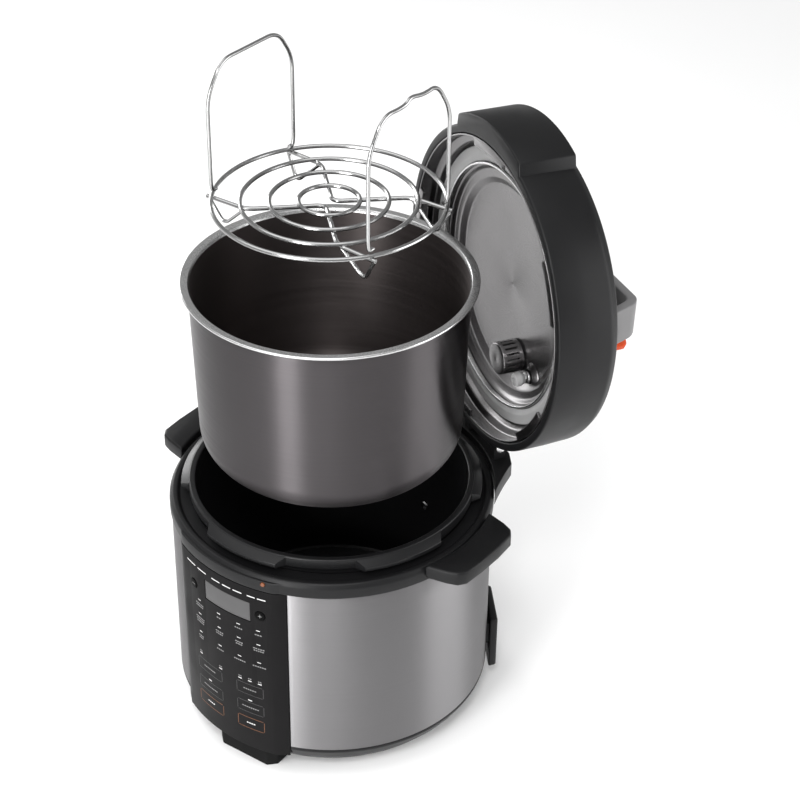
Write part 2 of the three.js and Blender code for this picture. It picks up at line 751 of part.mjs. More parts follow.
function steamPipe() {
  const pipe = turned([[3, 24], [9, 24], [9, 27.6], [6, 27.6], [6, 70], [3, 70]], 14);
  return pipe.translate(...VALVE, 0);
}

// The weighted valve cap on the pipe, with the lever that turns it.
function steamValve() {
  const cap = turned([[8, 66], [16, 66], [16, 90], [13, 96], [0, 97], [0, 72], [8, 72]], 24);
  const lever = block([6, leverReach()], [-6, 6], [86, 95]).rotateZ(valveAngle());
  return join(cap, lever).translate(...VALVE, 0);
}

function valveAngle() {
  return Math.atan2(VALVE_TIP[1] - VALVE[1], VALVE_TIP[0] - VALVE[0]);
}

function leverReach() {
  return Math.hypot(VALVE_TIP[0] - VALVE[0], VALVE_TIP[1] - VALVE[1]) - 10;
}

function valveTip() {
  const outline = [[0, -8], [8, -8], [14, -4], [14, 4], [8, 8], [0, 8]];
  const tip = prism(outline, ...TIP_HEIGHTS).translate(leverReach() + GAP, 0, 0);
  return tip.rotateZ(valveAngle()).translate(...VALVE, 0);
}

function floatValve() {
  const pin = turned([[0, 16], [2, 16], [2, 22], [5.4, 22], [5.4, 23.6], [3, 23.6], [3, 62], [0, 63]], 12);
  return pin.translate(...FLOAT, 0);
}

function floatSeal() {
  const seal = turned([[2.4, 10], [5.6, 11], [6.2, 16], [4, 20], [2.4, 20]], 12);
  return seal.translate(...FLOAT, 0);
}

// A strap that bridges the lid: a flat grip on two sloping legs, each with a toe for its screw.
function lidHandle() {
  const outside = [[105, 61.2], [94, 92], [86, 99], [-86, 99], [-94, 92], [-105, 61.2]];
  const rightInside = [[85, 91], [95, 66.5], [88, 66.5], [88, 61.2]];
  const leftInside = rightInside.map(([x, z]) => [-x, z]).reverse();
  const near = HANDLE_MIDDLE - HANDLE_HALF_WIDTH;
  const far = HANDLE_MIDDLE + HANDLE_HALF_WIDTH;
  return cut(
    sidePrism([...outside, ...leftInside, ...rightInside], near, far),
    ...HANDLE_SCREWS.map((x) => post([x, HANDLE_MIDDLE], SCREW_HOLE, 50, 65.6, 12)),
  );
}

function handleScrew(x) {
  const screw = turned([[0, 52.4], [4.4, 52.4], [4.4, 55.6], [2, 55.6], [2, 64.6], [0, 65.2]], 10);
  return screw.translate(x, HANDLE_MIDDLE, 0);
}

function buildLid() {
  const lid = new THREE.Group();
  addPiece(lid, 'lid_shell', lidShell(), 'blackPlastic');
  addPiece(lid, 'pressure_lid', pressureLid(), 'lidMetal');
  addPiece(lid, 'sealing_ring', sealingRing(), 'silicone');
  addPiece(lid, 'seal_rack', sealRack(), 'wireSteel');
  addPiece(lid, 'anti_block_shield', antiBlockShield(), 'lidMetal');
  addPiece(lid, 'steam_pipe', steamPipe(), 'wireSteel');
  addPiece(lid, 'steam_release_valve', steamValve(), 'blackPlastic');
  addPiece(lid, 'valve_tip', valveTip(), 'orange');
  addPiece(lid, 'float_valve', floatValve(), 'wireSteel');
  addPiece(lid, 'float_seal', floatSeal(), 'silicone');
  addPiece(lid, 'lid_handle', lidHandle(), 'handleGrey');
  addPiece(lid, 'handle_screw_left', handleScrew(HANDLE_SCREWS[0]), 'wireSteel');
  addPiece(lid, 'handle_screw_right', handleScrew(HANDLE_SCREWS[1]), 'wireSteel');
  return lid;
}

// The carrier with the lid tilted open about its pin.
function buildHingedLid() {
  const hinged = new THREE.Group();
  hinged.rotation.z = radians(LID_ANGLE - 90);
  addPiece(hinged, 'lid_carrier', lidCarrier(), 'blackPlastic');
  addPiece(hinged, 'hinge_pin', hingePin(), 'wireSteel');

  const tilt = new THREE.Group();
  tilt.position.set(0, PIVOT_RADIUS, PIVOT_HEIGHT);
  tilt.rotation.x = -radians(LID_OPEN);
  const lid = buildLid();
  lid.position.set(0, -PIVOT_RADIUS, -PIVOT_ABOVE_RIM);
  tilt.add(lid);
  hinged.add(tilt);
  return hinged;
}

// ---------------------------------------------------------------------------------------------
// Inner pot
// ---------------------------------------------------------------------------------------------

function innerPot() {
  const bottom = PLATE_TOP + GAP;
  const middle = POT_FOOT_RADIUS - POT_CORNER;
  const corner = (radius) =>
    [0, 22.5, 45, 67.5, 90].map((angle) => {
      const [along, down] = polar(radius, angle);
      return [middle + down, bottom + POT_CORNER - along];
    });
  return turned([
    [0, bottom],
    ...corner(POT_CORNER),
    [POT_RADIUS, 212],
    [POT_RADIUS, 216.6],
    [114.6, 218.5],
    [POT_RIM_RADIUS - 0.4, 218.8],
    [POT_RIM_RADIUS, POT_RIM_TOP - 0.8],
    [POT_RIM_RADIUS - 0.8, POT_RIM_TOP],
    [113.6, POT_RIM_TOP - 0.6],
    [POT_RADIUS - POT_WALL, 218],
    [POT_RADIUS - POT_WALL, 212],
    ...corner(POT_CORNER - POT_WALL).reverse(),
    [0, bottom + POT_WALL],
  ]);
}

// ---------------------------------------------------------------------------------------------
// Rack
// ---------------------------------------------------------------------------------------------

function rackGrid() {
  const pitch = (RACK_RADIUS - 24) / (RACK_RINGS - 1);
  const rings = Array.from({ length: RACK_RINGS }, (_, i) =>
    new THREE.TorusGeometry(RACK_RADIUS - i * pitch, RACK_WIRE, 6, 32 - i * 4));
  const low = -2 * RACK_WIRE + 0.8;
  const crossings = [1, -1].map((side) =>
    wire([
      [-EAR_X - 6, side * (EAR_Y + 1), low],
      [-45, side * (EAR_Y - 1), low],
      [0, side * 4, low],
      [45, side * (EAR_Y - 1), low],
      [EAR_X + 6, side * (EAR_Y + 1), low],
    ], RACK_WIRE, 8, 16));
  const legs = [1, -1].flatMap((sideX) => [1, -1].map((sideY) =>
    wire([
      [sideX * 46, sideY * (EAR_Y - 2), low + 0.4],
      [sideX * 70, sideY * 45, -RACK_LEG],
      [sideX * (EAR_X + 5), sideY * (EAR_Y + 1), low + 0.4],
    ], LOOP_WIRE, 7, 8)));
  return join(rings[0], ...rings.slice(1), ...crossings, ...legs);
}

// A lifting loop in the plane x = 0, its hooked ends pointing inwards along Y at the pivot.
function rackLoop(topPoints) {
  const side = (sign) => [
    [0, sign * (LOOP_HALF_WIDTH - 6), 0],
    [0, sign * LOOP_HALF_WIDTH, 0],
    [0, sign * LOOP_HALF_WIDTH, LOOP_HEIGHT - 27],
    [0, sign * (LOOP_HALF_WIDTH - 17), LOOP_HEIGHT - 1],
  ];
  return wire([...side(-1), ...topPoints, ...side(1).reverse()], LOOP_WIRE, 12, 44);
}

const WAVY_TOP = [[0, -7, LOOP_HEIGHT - 3], [0, 0, LOOP_HEIGHT + 2], [0, 16, LOOP_HEIGHT - 2]];

// The rack hangs its loops just above the ends of the crossing wires.
function buildRack() {
  const rack = new THREE.Group();
  addPiece(rack, 'rack_grid', rackGrid(), 'wireSteel');
  const left = addPiece(rack, 'rack_handle_left', rackLoop([]), 'wireSteel');
  left.position.set(-EAR_X, 0, LOOP_PIVOT);
  const right = addPiece(rack, 'rack_handle_right', rackLoop(WAVY_TOP), 'wireSteel');
  right.position.set(EAR_X, 0, LOOP_PIVOT);
  return rack;
}

// ---------------------------------------------------------------------------------------------
// Assembly
// ---------------------------------------------------------------------------------------------

const cooker = new THREE.Group();
cooker.add(buildBase());
cooker.add(buildHingedLid());

const liftedPot = new THREE.Group();
liftedPot.position.z = POT_LIFT;
addPiece(liftedPot, 'inner_pot', innerPot(), 'potMetal');
cooker.add(liftedPot);

const rack = buildRack();
rack.position.z = RACK_PLANE;
cooker.add(rack);

export default cooker;
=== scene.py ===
"""Looks of an electric pressure cooker, laid open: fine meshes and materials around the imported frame.

Sizes are in millimetres inside the helpers, and become metres where a mesh is made. The base's axis
is the Z axis, the control panel faces -Y. Lid pieces are drawn closed, around the lid's rim plane with
the hinge on +Y, and then carried to where the frame's joints say that the open lid stands.
"""

import json
import math

import bmesh
import bpy
from mathutils import Matrix, Quaternion, Vector


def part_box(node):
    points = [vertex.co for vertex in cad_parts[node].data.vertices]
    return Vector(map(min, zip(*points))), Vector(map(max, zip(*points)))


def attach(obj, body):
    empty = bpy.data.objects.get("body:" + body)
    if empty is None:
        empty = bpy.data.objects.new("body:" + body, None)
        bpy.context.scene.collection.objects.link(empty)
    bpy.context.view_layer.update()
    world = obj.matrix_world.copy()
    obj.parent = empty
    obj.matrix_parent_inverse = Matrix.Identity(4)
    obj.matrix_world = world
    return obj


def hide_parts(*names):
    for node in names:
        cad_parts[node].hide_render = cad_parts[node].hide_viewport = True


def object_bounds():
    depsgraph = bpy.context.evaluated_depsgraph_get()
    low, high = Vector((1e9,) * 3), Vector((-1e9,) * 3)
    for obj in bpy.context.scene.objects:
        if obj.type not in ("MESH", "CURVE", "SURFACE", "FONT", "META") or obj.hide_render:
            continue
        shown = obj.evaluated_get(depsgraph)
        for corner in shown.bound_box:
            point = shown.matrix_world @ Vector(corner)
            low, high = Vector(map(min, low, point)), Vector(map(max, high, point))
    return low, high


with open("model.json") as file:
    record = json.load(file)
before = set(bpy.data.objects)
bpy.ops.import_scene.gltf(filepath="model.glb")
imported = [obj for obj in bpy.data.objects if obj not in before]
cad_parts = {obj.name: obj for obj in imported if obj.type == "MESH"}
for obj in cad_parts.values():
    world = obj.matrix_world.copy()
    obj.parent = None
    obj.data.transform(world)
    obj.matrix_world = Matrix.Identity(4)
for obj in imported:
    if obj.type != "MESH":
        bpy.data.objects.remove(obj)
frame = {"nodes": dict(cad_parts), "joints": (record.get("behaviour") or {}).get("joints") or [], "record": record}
cad_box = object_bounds()

MM = 0.001
FINE = 192          # facets round a large turned piece
FINER = 256         # facets round the inner pot and the lid


# --------------------------------------------------------------------------------------------------
# Sizes read from the frame
# --------------------------------------------------------------------------------------------------

def node_box(node):
    """Lowest and highest corner of a CAD node, in millimetres."""
    low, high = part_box(node)
    return low / MM, high / MM


def joint(name):
    return next(j for j in frame["joints"] if j["name"] == name)


WRAP_LOW, WRAP_HIGH = node_box("steel_wrap")
RING_LOW, RING_HIGH = node_box("upper_housing_ring")
POT_LOW, POT_HIGH = node_box("inner_pot")
PANEL_LOW, PANEL_HIGH = node_box("control_panel")
HANDLE_LOW, HANDLE_HIGH = node_box("side_handle_right")
GRID_HIGH = node_box("rack_grid")[1]
LOOP_LOW = node_box("rack_handle_left")[0]
PLATE_TOP = node_box("heating_plate")[1].z
FLANGE_TOP = node_box("outer_pot")[1].z

BODY_RADIUS = WRAP_HIGH.x
RING_RADIUS = RING_HIGH.x
PIVOT = Vector(joint("lid_hinge")["pos_m"]) / MM
PIVOT_RADIUS = math.hypot(PIVOT.x, PIVOT.y)


# --------------------------------------------------------------------------------------------------
# Driving sizes: millimetres, and degrees from +X
# --------------------------------------------------------------------------------------------------

# Base
SEAM = 0.4                      # gap between the wrap and the plastic above and below it
PANEL_MIDDLE = -93
PANEL_RADIUS = 140
PANEL_HALF_ANGLE = 25.8         # to the outer edge of the panel's sloping sides
PANEL_FACE_HALF_ANGLE = 21.3    # to the end of its curved face
PANEL_GAP = 0.2                 # angle left free beside the panel
DISPLAY = {"from": -100.4, "to": -80.2, "bottom": 156, "top": 176}
KEYS = {"minus_key": (-106.8, 162.5), "plus_key": (-76.4, 165.5)}   # direction and height
KEY_RADIUS = 4.6
KEY_HOLE_RADIUS = 4.95
INDICATOR = (-75, 199.8, 1.9)   # direction, height and radius
WELL_RADIUS = 115.9
LUG_RADIUS = 128
LUG_COUNT = 5
FIRST_LUG = -153.5
LUG_PITCH = 65
FEET_BOTTOM = -8
PAD_RING_RADIUS = 106           # circle on which the four round feet stand
INLET_TURN = -48                # drawn at the rear, then turned by this much
CUP_TURN = 28

# Rack
THICK_WIRE = 1.8                # radius of the rings and cross wires
THIN_WIRE = 1.6                 # radius of the legs and loops

# Lid, in the closed lid's own frame
LID_RADIUS = 138
LID_BAND = 52                   # height at which the side turns into the top
LID_CROWN = 64
VISOR_MIDDLE = -93
VISOR_HALF_ANGLE = 22
VISOR_RADIUS = 149
VISOR_FALL = 2.5                # how much nearer the axis the visor's ends are than its middle
VALVE = (22, 57)
VALVE_HOLE_RADIUS = 6.6
VALVE_TIP = (70, 30)
TIP_HEIGHTS = (84, 101)
FLOAT = (50, 62)
FLOAT_HOLE_RADIUS = 3.7
BRIDGE_MIDDLE = -4
BRIDGE_HALF_WIDTH = 16

# Hinge
PIVOT_ABOVE_RIM = 14.8
KNUCKLE_RADIUS = 5.5
KNUCKLE_SPAN = (21, 29)         # where each of the carrier's knuckles begins and ends
BARREL_REACH = 20.5             # half the length of the lid's own barrel
PIN_RADIUS = 2.4
PIN_BORE_RADIUS = 2.75
PIN_BORE_REACH = 40


def lid_place():
    """The matrix from the closed lid's own frame, in millimetres, to the open lid."""
    outward = Vector(joint("float_rise")["axis"]).normalized()
    across = -Vector(joint("lid_hinge")["axis"]).normalized()
    along = outward.cross(across)
    turn = Matrix((across, along, outward)).transposed()
    origin = PIVOT - turn @ Vector((0, PIVOT_RADIUS, PIVOT_ABOVE_RIM))
    return Matrix.Translation(origin) @ turn.to_4x4()


LID_PLACE = lid_place()


# --------------------------------------------------------------------------------------------------
# Mesh helpers
# --------------------------------------------------------------------------------------------------

def polar(radius, angle):
    return radius * math.cos(math.radians(angle)), radius * math.sin(math.radians(angle))


def arc(radius, start, end, step=1.5):
    count = max(2, round(abs(end - start) / step))
    return [polar(radius, start + (end - start) * i / count) for i in range(count + 1)]


def new_object(name, data):
    made = bpy.data.objects.new(name, data)
    bpy.context.scene.collection.objects.link(made)
    return made


def smooth(mesh, angle=35):
    for face in mesh.polygons:
        face.use_smooth = True
    mesh.set_sharp_from_angle(angle=math.radians(angle))


def make(name, points, faces, angle=35):
    """A mesh object from points in millimetres."""
    mesh = bpy.data.meshes.new(name)
    mesh.from_pydata([Vector(p) * MM for p in points], [], faces)
    work = bmesh.new()
    work.from_mesh(mesh)
    bmesh.ops.remove_doubles(work, verts=work.verts, dist=1e-7)
    bmesh.ops.recalc_face_normals(work, faces=work.faces)
    work.to_mesh(mesh)
    work.free()
    smooth(mesh, angle)
    return new_object(name, mesh)


def rounded(outline, radius, steps=3):
    """A closed outline with each of its corners rounded off."""
    points = [Vector(p) for p in outline]
    result = []
    for i, corner in enumerate(points):
        before = points[i - 1] - corner
        after = points[(i + 1) % len(points)] - corner
        reach = min(radius, before.length * 0.45, after.length * 0.45)
        if reach < 1e-6:
            result.append(corner)
            continue
        start = corner + before.normalized() * reach
        end = corner + after.normalized() * reach
        for k in range(steps + 1):
            t = k / steps
            result.append(start.lerp(corner, t).lerp(corner.lerp(end, t), t))
    return result


def turned(name, profile, radius=0.6, segments=FINE, angle=35):
    """A closed profile of (radius, height), turned about the Z axis."""
    rim = rounded([Vector((r, z)) for r, z in profile], radius)
    rim = [Vector((0, p.y)) if p.x < 1e-3 else p for p in rim]
    points = []
    for i in range(segments):
        cosine, sine = polar(1, 360 * i / segments)
        points += [(p.x * cosine, p.x * sine, p.y) for p in rim]
    count = len(rim)
    faces = []
    for i in range(segments):
        a, b = i * count, ((i + 1) % segments) * count
        for k in range(count):
            n = (k + 1) % count
            if rim[k].x < 1e-6 and rim[n].x < 1e-6:
                continue
            if rim[k].x < 1e-6:
                faces.append((a + k, b + n, a + n))
            elif rim[n].x < 1e-6:
                faces.append((a + k, b + k, a + n))
            else:
                faces.append((a + k, b + k, b + n, a + n))
    return make(name, points, faces, angle)


def prism(name, outline, bottom, top, bevel=0.0):
    """An outline in plan, extruded between two heights, with its edges softened."""
    count = len(outline)
    points = [(x, y, bottom) for x, y in outline] + [(x, y, top) for x, y in outline]
    faces = [tuple(range(count))[::-1], tuple(range(count, 2 * count))]
    faces += [(i, (i + 1) % count, (i + 1) % count + count, i + count) for i in range(count)]
    piece = make(name, points, faces)
    return soften(piece, bevel) if bevel else piece


def block(name, x, y, z, bevel=0.0):
    return prism(name, [(x[0], y[0]), (x[1], y[0]), (x[1], y[1]), (x[0], y[1])], z[0], z[1], bevel)


def rod(name, start, end, radius, sides=32, bevel=0.0):
    """A round bar between two points."""
    a, b = Vector(start), Vector(end)
    piece = prism(name, arc(radius, 0, 360, 360 / sides)[:-1], 0, (b - a).length, bevel)
    piece.data.transform(Matrix.Translation(a * MM) @ (b - a).to_track_quat("Z", "Y").to_matrix().to_4x4())
    return piece


def use(piece, modifier):
    """Applies a modifier that has just been set up."""
    graph = bpy.context.evaluated_depsgraph_get()
    mesh = bpy.data.meshes.new_from_object(piece.evaluated_get(graph))
    piece.modifiers.remove(modifier)
    piece.data = mesh
    smooth(mesh)
    return piece


def soften(piece, width, segments=3):
    bevel = piece.modifiers.new("soft edges", "BEVEL")
    bevel.width = width * MM
    bevel.segments = segments
    bevel.limit_method = "ANGLE"
    bevel.angle_limit = math.radians(32)
    bevel.use_clamp_overlap = True
    return use(piece, bevel)


def combine(piece, tools, operation):
    for tool in tools:
        step = piece.modifiers.new("combine", "BOOLEAN")
        step.operation = operation
        step.solver = "EXACT"
        step.object = tool
        use(piece, step)
        bpy.data.objects.remove(tool)
    return piece


def cut(piece, *tools):
    return combine(piece, tools, "DIFFERENCE")


def add(piece, *others):
    return combine(piece, others, "UNION")


def merge(name, pieces):
    """Several meshes as one object, left as they are."""
    work = bmesh.new()
    for piece in pieces:
        work.from_mesh(piece.data)
        bpy.data.objects.remove(piece)
    mesh = bpy.data.meshes.new(name)
    work.to_mesh(mesh)
    work.free()
    smooth(mesh)
    return new_object(name, mesh)


def bent(points, bend, steps=10):
    """Points along a path of straight runs with rounded corners."""
    corners = [Vector(p) for p in points]
    path = [corners[0]]
    for before, corner, after in zip(corners, corners[1:], corners[2:]):
        start = corner + (before - corner).normalized() * min(bend, 0.45 * (before - corner).length)
        end = corner + (after - corner).normalized() * min(bend, 0.45 * (after - corner).length)
        for k in range(steps + 1):
            t = k / steps
            path.append(start.lerp(corner, t).lerp(corner.lerp(end, t), t))
    return path + [corners[-1]]


def tube(name, path, radius, closed=False, sides=14):
    """A round wire along a path, with its ends capped."""
    curve = bpy.data.curves.new(name, "CURVE")
    curve.dimensions = "3D"
    curve.bevel_depth = radius * MM
    curve.bevel_resolution = sides // 4
    curve.use_fill_caps = True
    spline = curve.splines.new("POLY")
    spline.points.add(len(path) - 1)
    for point, place in zip(spline.points, path):
        point.co = (*(Vector(place) * MM), 1)
    spline.use_cyclic_u = closed
    drawn = new_object(name, curve)
    graph = bpy.context.evaluated_depsgraph_get()
    mesh = bpy.data.meshes.new_from_object(drawn.evaluated_get(graph))
    bpy.data.objects.remove(drawn)
    smooth(mesh, 50)
    return new_object(name, mesh)


def moved(piece, place):
    """Carries a mesh by a matrix in millimetres."""
    shift = Matrix.Translation(place.to_translation() * MM)
    piece.data.transform(shift @ place.to_3x3().to_4x4())
    return piece


def shifted(piece, x, y):
    """Moves a mesh in plan."""
    piece.data.transform(Matrix.Translation(Vector((x, y, 0)) * MM))
    return piece


def spun(piece, angle):
    return moved(piece, Matrix.Rotation(math.radians(angle), 4, "Z"))


def finish(piece, material, slot, body, *nodes):
    """Gives a piece its material and body, and hides the CAD nodes that it stands for."""
    if not piece.data.materials:
        piece.data.materials.append(material)
    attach(piece, body)
    if nodes:
        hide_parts(*nodes)
    return piece


# --------------------------------------------------------------------------------------------------
# Materials
# --------------------------------------------------------------------------------------------------

class Paint:
    """A node material under construction, around one Principled shader."""

    def __init__(self, name, colour, roughness, metallic=0.0):
        self.material = bpy.data.materials.new(name)
        self.material.use_nodes = True
        self.tree = self.material.node_tree
        self.shader = self.tree.nodes["Principled BSDF"]
        self.shader.inputs["Base Color"].default_value = (*colour, 1)
        self.shader.inputs["Roughness"].default_value = roughness
        self.shader.inputs["Metallic"].default_value = metallic
        self.colour = colour

    def node(self, kind, **settings):
        made = self.tree.nodes.new(kind)
        for key, value in settings.items():
            setattr(made, key, value)
        return made

    def link(self, source, target):
        self.tree.links.new(source, target)

    def noise(self, scale, detail=4.0, stretch=(1, 1, 1)):
        place = self.node("ShaderNodeTexCoord")
        mapping = self.node("ShaderNodeMapping")
        mapping.inputs["Scale"].default_value = stretch
        noise = self.node("ShaderNodeTexNoise")
        noise.inputs["Scale"].default_value = scale
        noise.inputs["Detail"].default_value = detail
        self.link(place.outputs["Object"], mapping.inputs["Vector"])
        self.link(mapping.outputs["Vector"], noise.inputs["Vector"])
        return noise.outputs["Fac"]

    def spread(self, source, low, high):
        """A factor mapped to a range of values."""
        span = self.node("ShaderNodeMapRange")
        span.inputs["From Min"].default_value = 0.3
        span.inputs["From Max"].default_value = 0.7
        span.inputs["To Min"].default_value = low
        span.inputs["To Max"].default_value = high
        self.link(source, span.inputs["Value"])
        return span.outputs["Result"]

    def vary_colour(self, source, amount):
        """Lightens and darkens the base colour by a factor."""
        ramp = self.node("ShaderNodeValToRGB")
        dark = [c * (1 - amount) for c in self.colour]
        light = [min(1, c * (1 + amount)) for c in self.colour]
        ramp.color_ramp.elements[0].position = 0.3
        ramp.color_ramp.elements[1].position = 0.7
        ramp.color_ramp.elements[0].color = (*dark, 1)
        ramp.color_ramp.elements[1].color = (*light, 1)
        self.link(source, ramp.inputs["Fac"])
        self.link(ramp.outputs["Color"], self.shader.inputs["Base Color"])

    def vary_roughness(self, source, low, high):
        self.link(self.spread(source, low, high), self.shader.inputs["Roughness"])

    def bump(self, source, depth, strength=1.0):
        bump = self.node("ShaderNodeBump")
        bump.inputs["Distance"].default_value = depth * MM
        bump.inputs["Strength"].default_value = strength
        self.link(source, bump.inputs["Height"])
        self.link(bump.outputs["Normal"], self.shader.inputs["Normal"])


def moulded(name, colour, roughness, grain=1400, depth=0.03, shine=0.25):
    """Moulded plastic: a fine spark-eroded grain and faint uneven gloss."""
    paint = Paint(name, colour, roughness)
    paint.shader.inputs["Specular IOR Level"].default_value = shine
    paint.vary_colour(paint.noise(9), 0.12)
    paint.vary_roughness(paint.noise(26), roughness - 0.05, roughness + 0.06)
    paint.bump(paint.noise(grain, 2), depth, 0.6)
    return paint.material


def glossy(name, colour, roughness=0.12):
    """Smooth plastic with the faint waves of a moulding."""
    paint = Paint(name, colour, roughness)
    paint.vary_roughness(paint.noise(60), roughness, roughness + 0.06)
    paint.vary_colour(paint.noise(30), 0.06)
    paint.bump(paint.noise(35, 1), 0.02, 0.3)
    return paint.material


def brushed(name, colour, roughness, stretch, scale=1, anisotropy=0.7):
    """Brushed metal: scratches that run round the Z axis, with highlights drawn out across them."""
    paint = Paint(name, colour, roughness, 1.0)
    lines = paint.noise(scale, 6, stretch)
    paint.vary_roughness(lines, roughness - 0.04, roughness + 0.04)
    paint.vary_colour(lines, 0.035)
    paint.bump(lines, 0.006, 0.2)
    paint.shader.inputs["Anisotropic"].default_value = anisotropy
    paint.shader.inputs["Anisotropic Rotation"].default_value = 0.25
    tangent = paint.node("ShaderNodeTangent", direction_type="RADIAL", axis="Z")
    paint.link(tangent.outputs["Tangent"], paint.shader.inputs["Tangent"])
    return paint.material


def metal(name, colour, roughness, grain=500, depth=0.01):
    """Plain metal with fine handling marks."""
    paint = Paint(name, colour, roughness, 1.0)
    marks = paint.noise(grain, 5)
    paint.vary_roughness(marks, max(0.03, roughness - 0.06), roughness + 0.06)
    paint.vary_colour(paint.noise(22), 0.06)
    paint.bump(marks, depth, 0.3)
    return paint.material


def rubbery(name, colour, roughness=0.75):
    paint = Paint(name, colour, roughness)
    paint.shader.inputs["Specular IOR Level"].default_value = 0.1
    paint.vary_colour(paint.noise(40), 0.15)
    paint.bump(paint.noise(700, 3), 0.06, 0.6)
    return paint.material


def silicone(name):
    paint = Paint(name, (0.5, 0.5, 0.5), 0.35)
    paint.vary_colour(paint.noise(50), 0.06)
    paint.bump(paint.noise(300, 2), 0.02, 0.4)
    paint.shader.inputs["Transmission Weight"].default_value = 0.45
    return paint.material


def smoky(name):
    paint = Paint(name, (0.6, 0.63, 0.65), 0.14)
    paint.shader.inputs["Transmission Weight"].default_value = 0.75
    paint.vary_roughness(paint.noise(30), 0.1, 0.2)
    paint.bump(paint.noise(45, 1), 0.03, 0.3)
    return paint.material


def printed_board(name):
    """Green circuit board with paler tracks."""
    paint = Paint(name, (0.03, 0.13, 0.06), 0.35)
    bricks = paint.node("ShaderNodeTexBrick")
    bricks.inputs["Scale"].default_value = 60
    bricks.inputs["Color1"].default_value = (0.025, 0.12, 0.05, 1)
    bricks.inputs["Color2"].default_value = (0.04, 0.17, 0.08, 1)
    bricks.inputs["Mortar"].default_value = (0.12, 0.3, 0.16, 1)
    place = paint.node("ShaderNodeTexCoord")
    paint.link(place.outputs["Object"], bricks.inputs["Vector"])
    paint.link(bricks.outputs["Color"], paint.shader.inputs["Base Color"])
    return paint.material


def printing(name, colour):
    """Pad-printed ink, slightly uneven."""
    paint = Paint(name, colour, 0.5)
    paint.vary_colour(paint.noise(900, 2), 0.08)
    paint.bump(paint.noise(1500, 1), 0.01, 0.3)
    return paint.material


BLACK = moulded("black_plastic", (0.007, 0.007, 0.0075), 0.42, shine=0.2)
PANEL = moulded("panel_plastic", (0.0065, 0.0062, 0.0065), 0.42, 2200, 0.015, 0.06)
KEY_BLACK = moulded("key_black", (0.0015, 0.0015, 0.0015), 0.5, 2200, 0.01, 0.04)
DISPLAY_GREY = glossy("display_grey", (0.05, 0.049, 0.05), 0.4)
ORANGE = moulded("orange_plastic", (0.6, 0.06, 0.005), 0.45, 2000, 0.01, 0.15)
AMBER = glossy("amber_lens", (0.17, 0.05, 0.015), 0.4)
WRAP_STEEL = brushed("brushed_steel", (0.215, 0.211, 0.215), 0.47, (2, 2, 900), anisotropy=0.92)
WELL_COAT = moulded("well_metal", (0.007, 0.007, 0.0075), 0.36, 900, 0.02)
CAST = metal("cast_aluminium", (0.1, 0.1, 0.105), 0.42, 260, 0.05)
POT_OUTSIDE = brushed("pot_metal", (0.074, 0.0687, 0.0712), 0.36, (3, 3, 700), anisotropy=0.92)
POT_INSIDE = brushed("pot_coating", (0.118, 0.103, 0.101), 0.46, (3, 3, 500), anisotropy=0.8)
BRIGHT = metal("bright_steel", (0.62, 0.62, 0.62), 0.26, 2500, 0.0004)
WIRE = metal("wire_steel", (0.4, 0.4, 0.4), 0.22, 2500, 0.0004)
LID_METAL = metal("lid_metal", (0.2, 0.195, 0.197), 0.3, 2000, 0.001)
GREY = moulded("handle_grey", (0.17, 0.168, 0.17), 0.4)
SILICONE = silicone("silicone")
RUBBER = rubbery("rubber_black", (0.007, 0.007, 0.007))
BOARD = printed_board("board_green")
HEATER = metal("heater_steel", (0.19, 0.16, 0.14), 0.5, 180, 0.04)
SMOKY = smoky("clear_plastic")
WHITE_INK = printing("white_ink", (0.6, 0.6, 0.6))
GREY_INK = printing("grey_ink", (0.17, 0.17, 0.17))
DIM_INK = printing("dim_ink", (0.05, 0.05, 0.05))
ORANGE_INK = printing("orange_ink", (0.14, 0.05, 0.014))

SLOT_MATERIALS = {
    "black_plastic": BLACK,
    "panel_plastic": PANEL,
    "key_black": KEY_BLACK,
    "display_grey": DISPLAY_GREY,
    "orange_plastic": ORANGE,
    "brushed_steel": WRAP_STEEL,
    "well_metal": WELL_COAT,
    "cast_aluminium": CAST,
    "pot_metal": POT_OUTSIDE,
    "wire_steel": WIRE,
    "lid_metal": LID_METAL,
    "handle_grey": GREY,
    "silicone": SILICONE,
    "rubber_black": RUBBER,
    "board_green": BOARD,
    "heater_steel": HEATER,
    "clear_plastic": SMOKY,
}


def paint_frame():
    """Every CAD node that stays in view takes the detailed material of its slot."""
    for part in frame["record"]["subparts"]:
        node = frame["nodes"][part["node"]]
        for place in node.material_slots:
            place.material = SLOT_MATERIALS[part["material_slot"]]


# --------------------------------------------------------------------------------------------------
# Base
# --------------------------------------------------------------------------------------------------

def panel_outline():
    """The panel's outer edge in plan: a curved face with a sloping return at each side."""
    face = arc(PANEL_RADIUS, PANEL_MIDDLE - PANEL_FACE_HALF_ANGLE, PANEL_MIDDLE + PANEL_FACE_HALF_ANGLE)
    return [polar(BODY_RADIUS, PANEL_MIDDLE - PANEL_HALF_ANGLE), *face,
            polar(BODY_RADIUS, PANEL_MIDDLE + PANEL_HALF_ANGLE)]


def sector(name, inner, outer, start, end, bottom, top, bevel=0.0):
    return prism(name, [*arc(outer, start, end), *arc(inner, end, start)], bottom, top, bevel)


def steel_wrap():
    start = PANEL_MIDDLE + PANEL_HALF_ANGLE + PANEL_GAP
    end = PANEL_MIDDLE - PANEL_HALF_ANGLE - PANEL_GAP + 360
    wrap = sector("steel_wrap_sheet", BODY_RADIUS - 1.2, BODY_RADIUS, start, end,
                  WRAP_LOW.z, WRAP_HIGH.z, 0.35)
    inlet_hole = spun(block("hole", (-24, 24), (125, 150), (WRAP_LOW.z - 1, 60)), INLET_TURN)
    finish(cut(wrap, inlet_hole), WRAP_STEEL, "brushed_steel", "base", "steel_wrap")


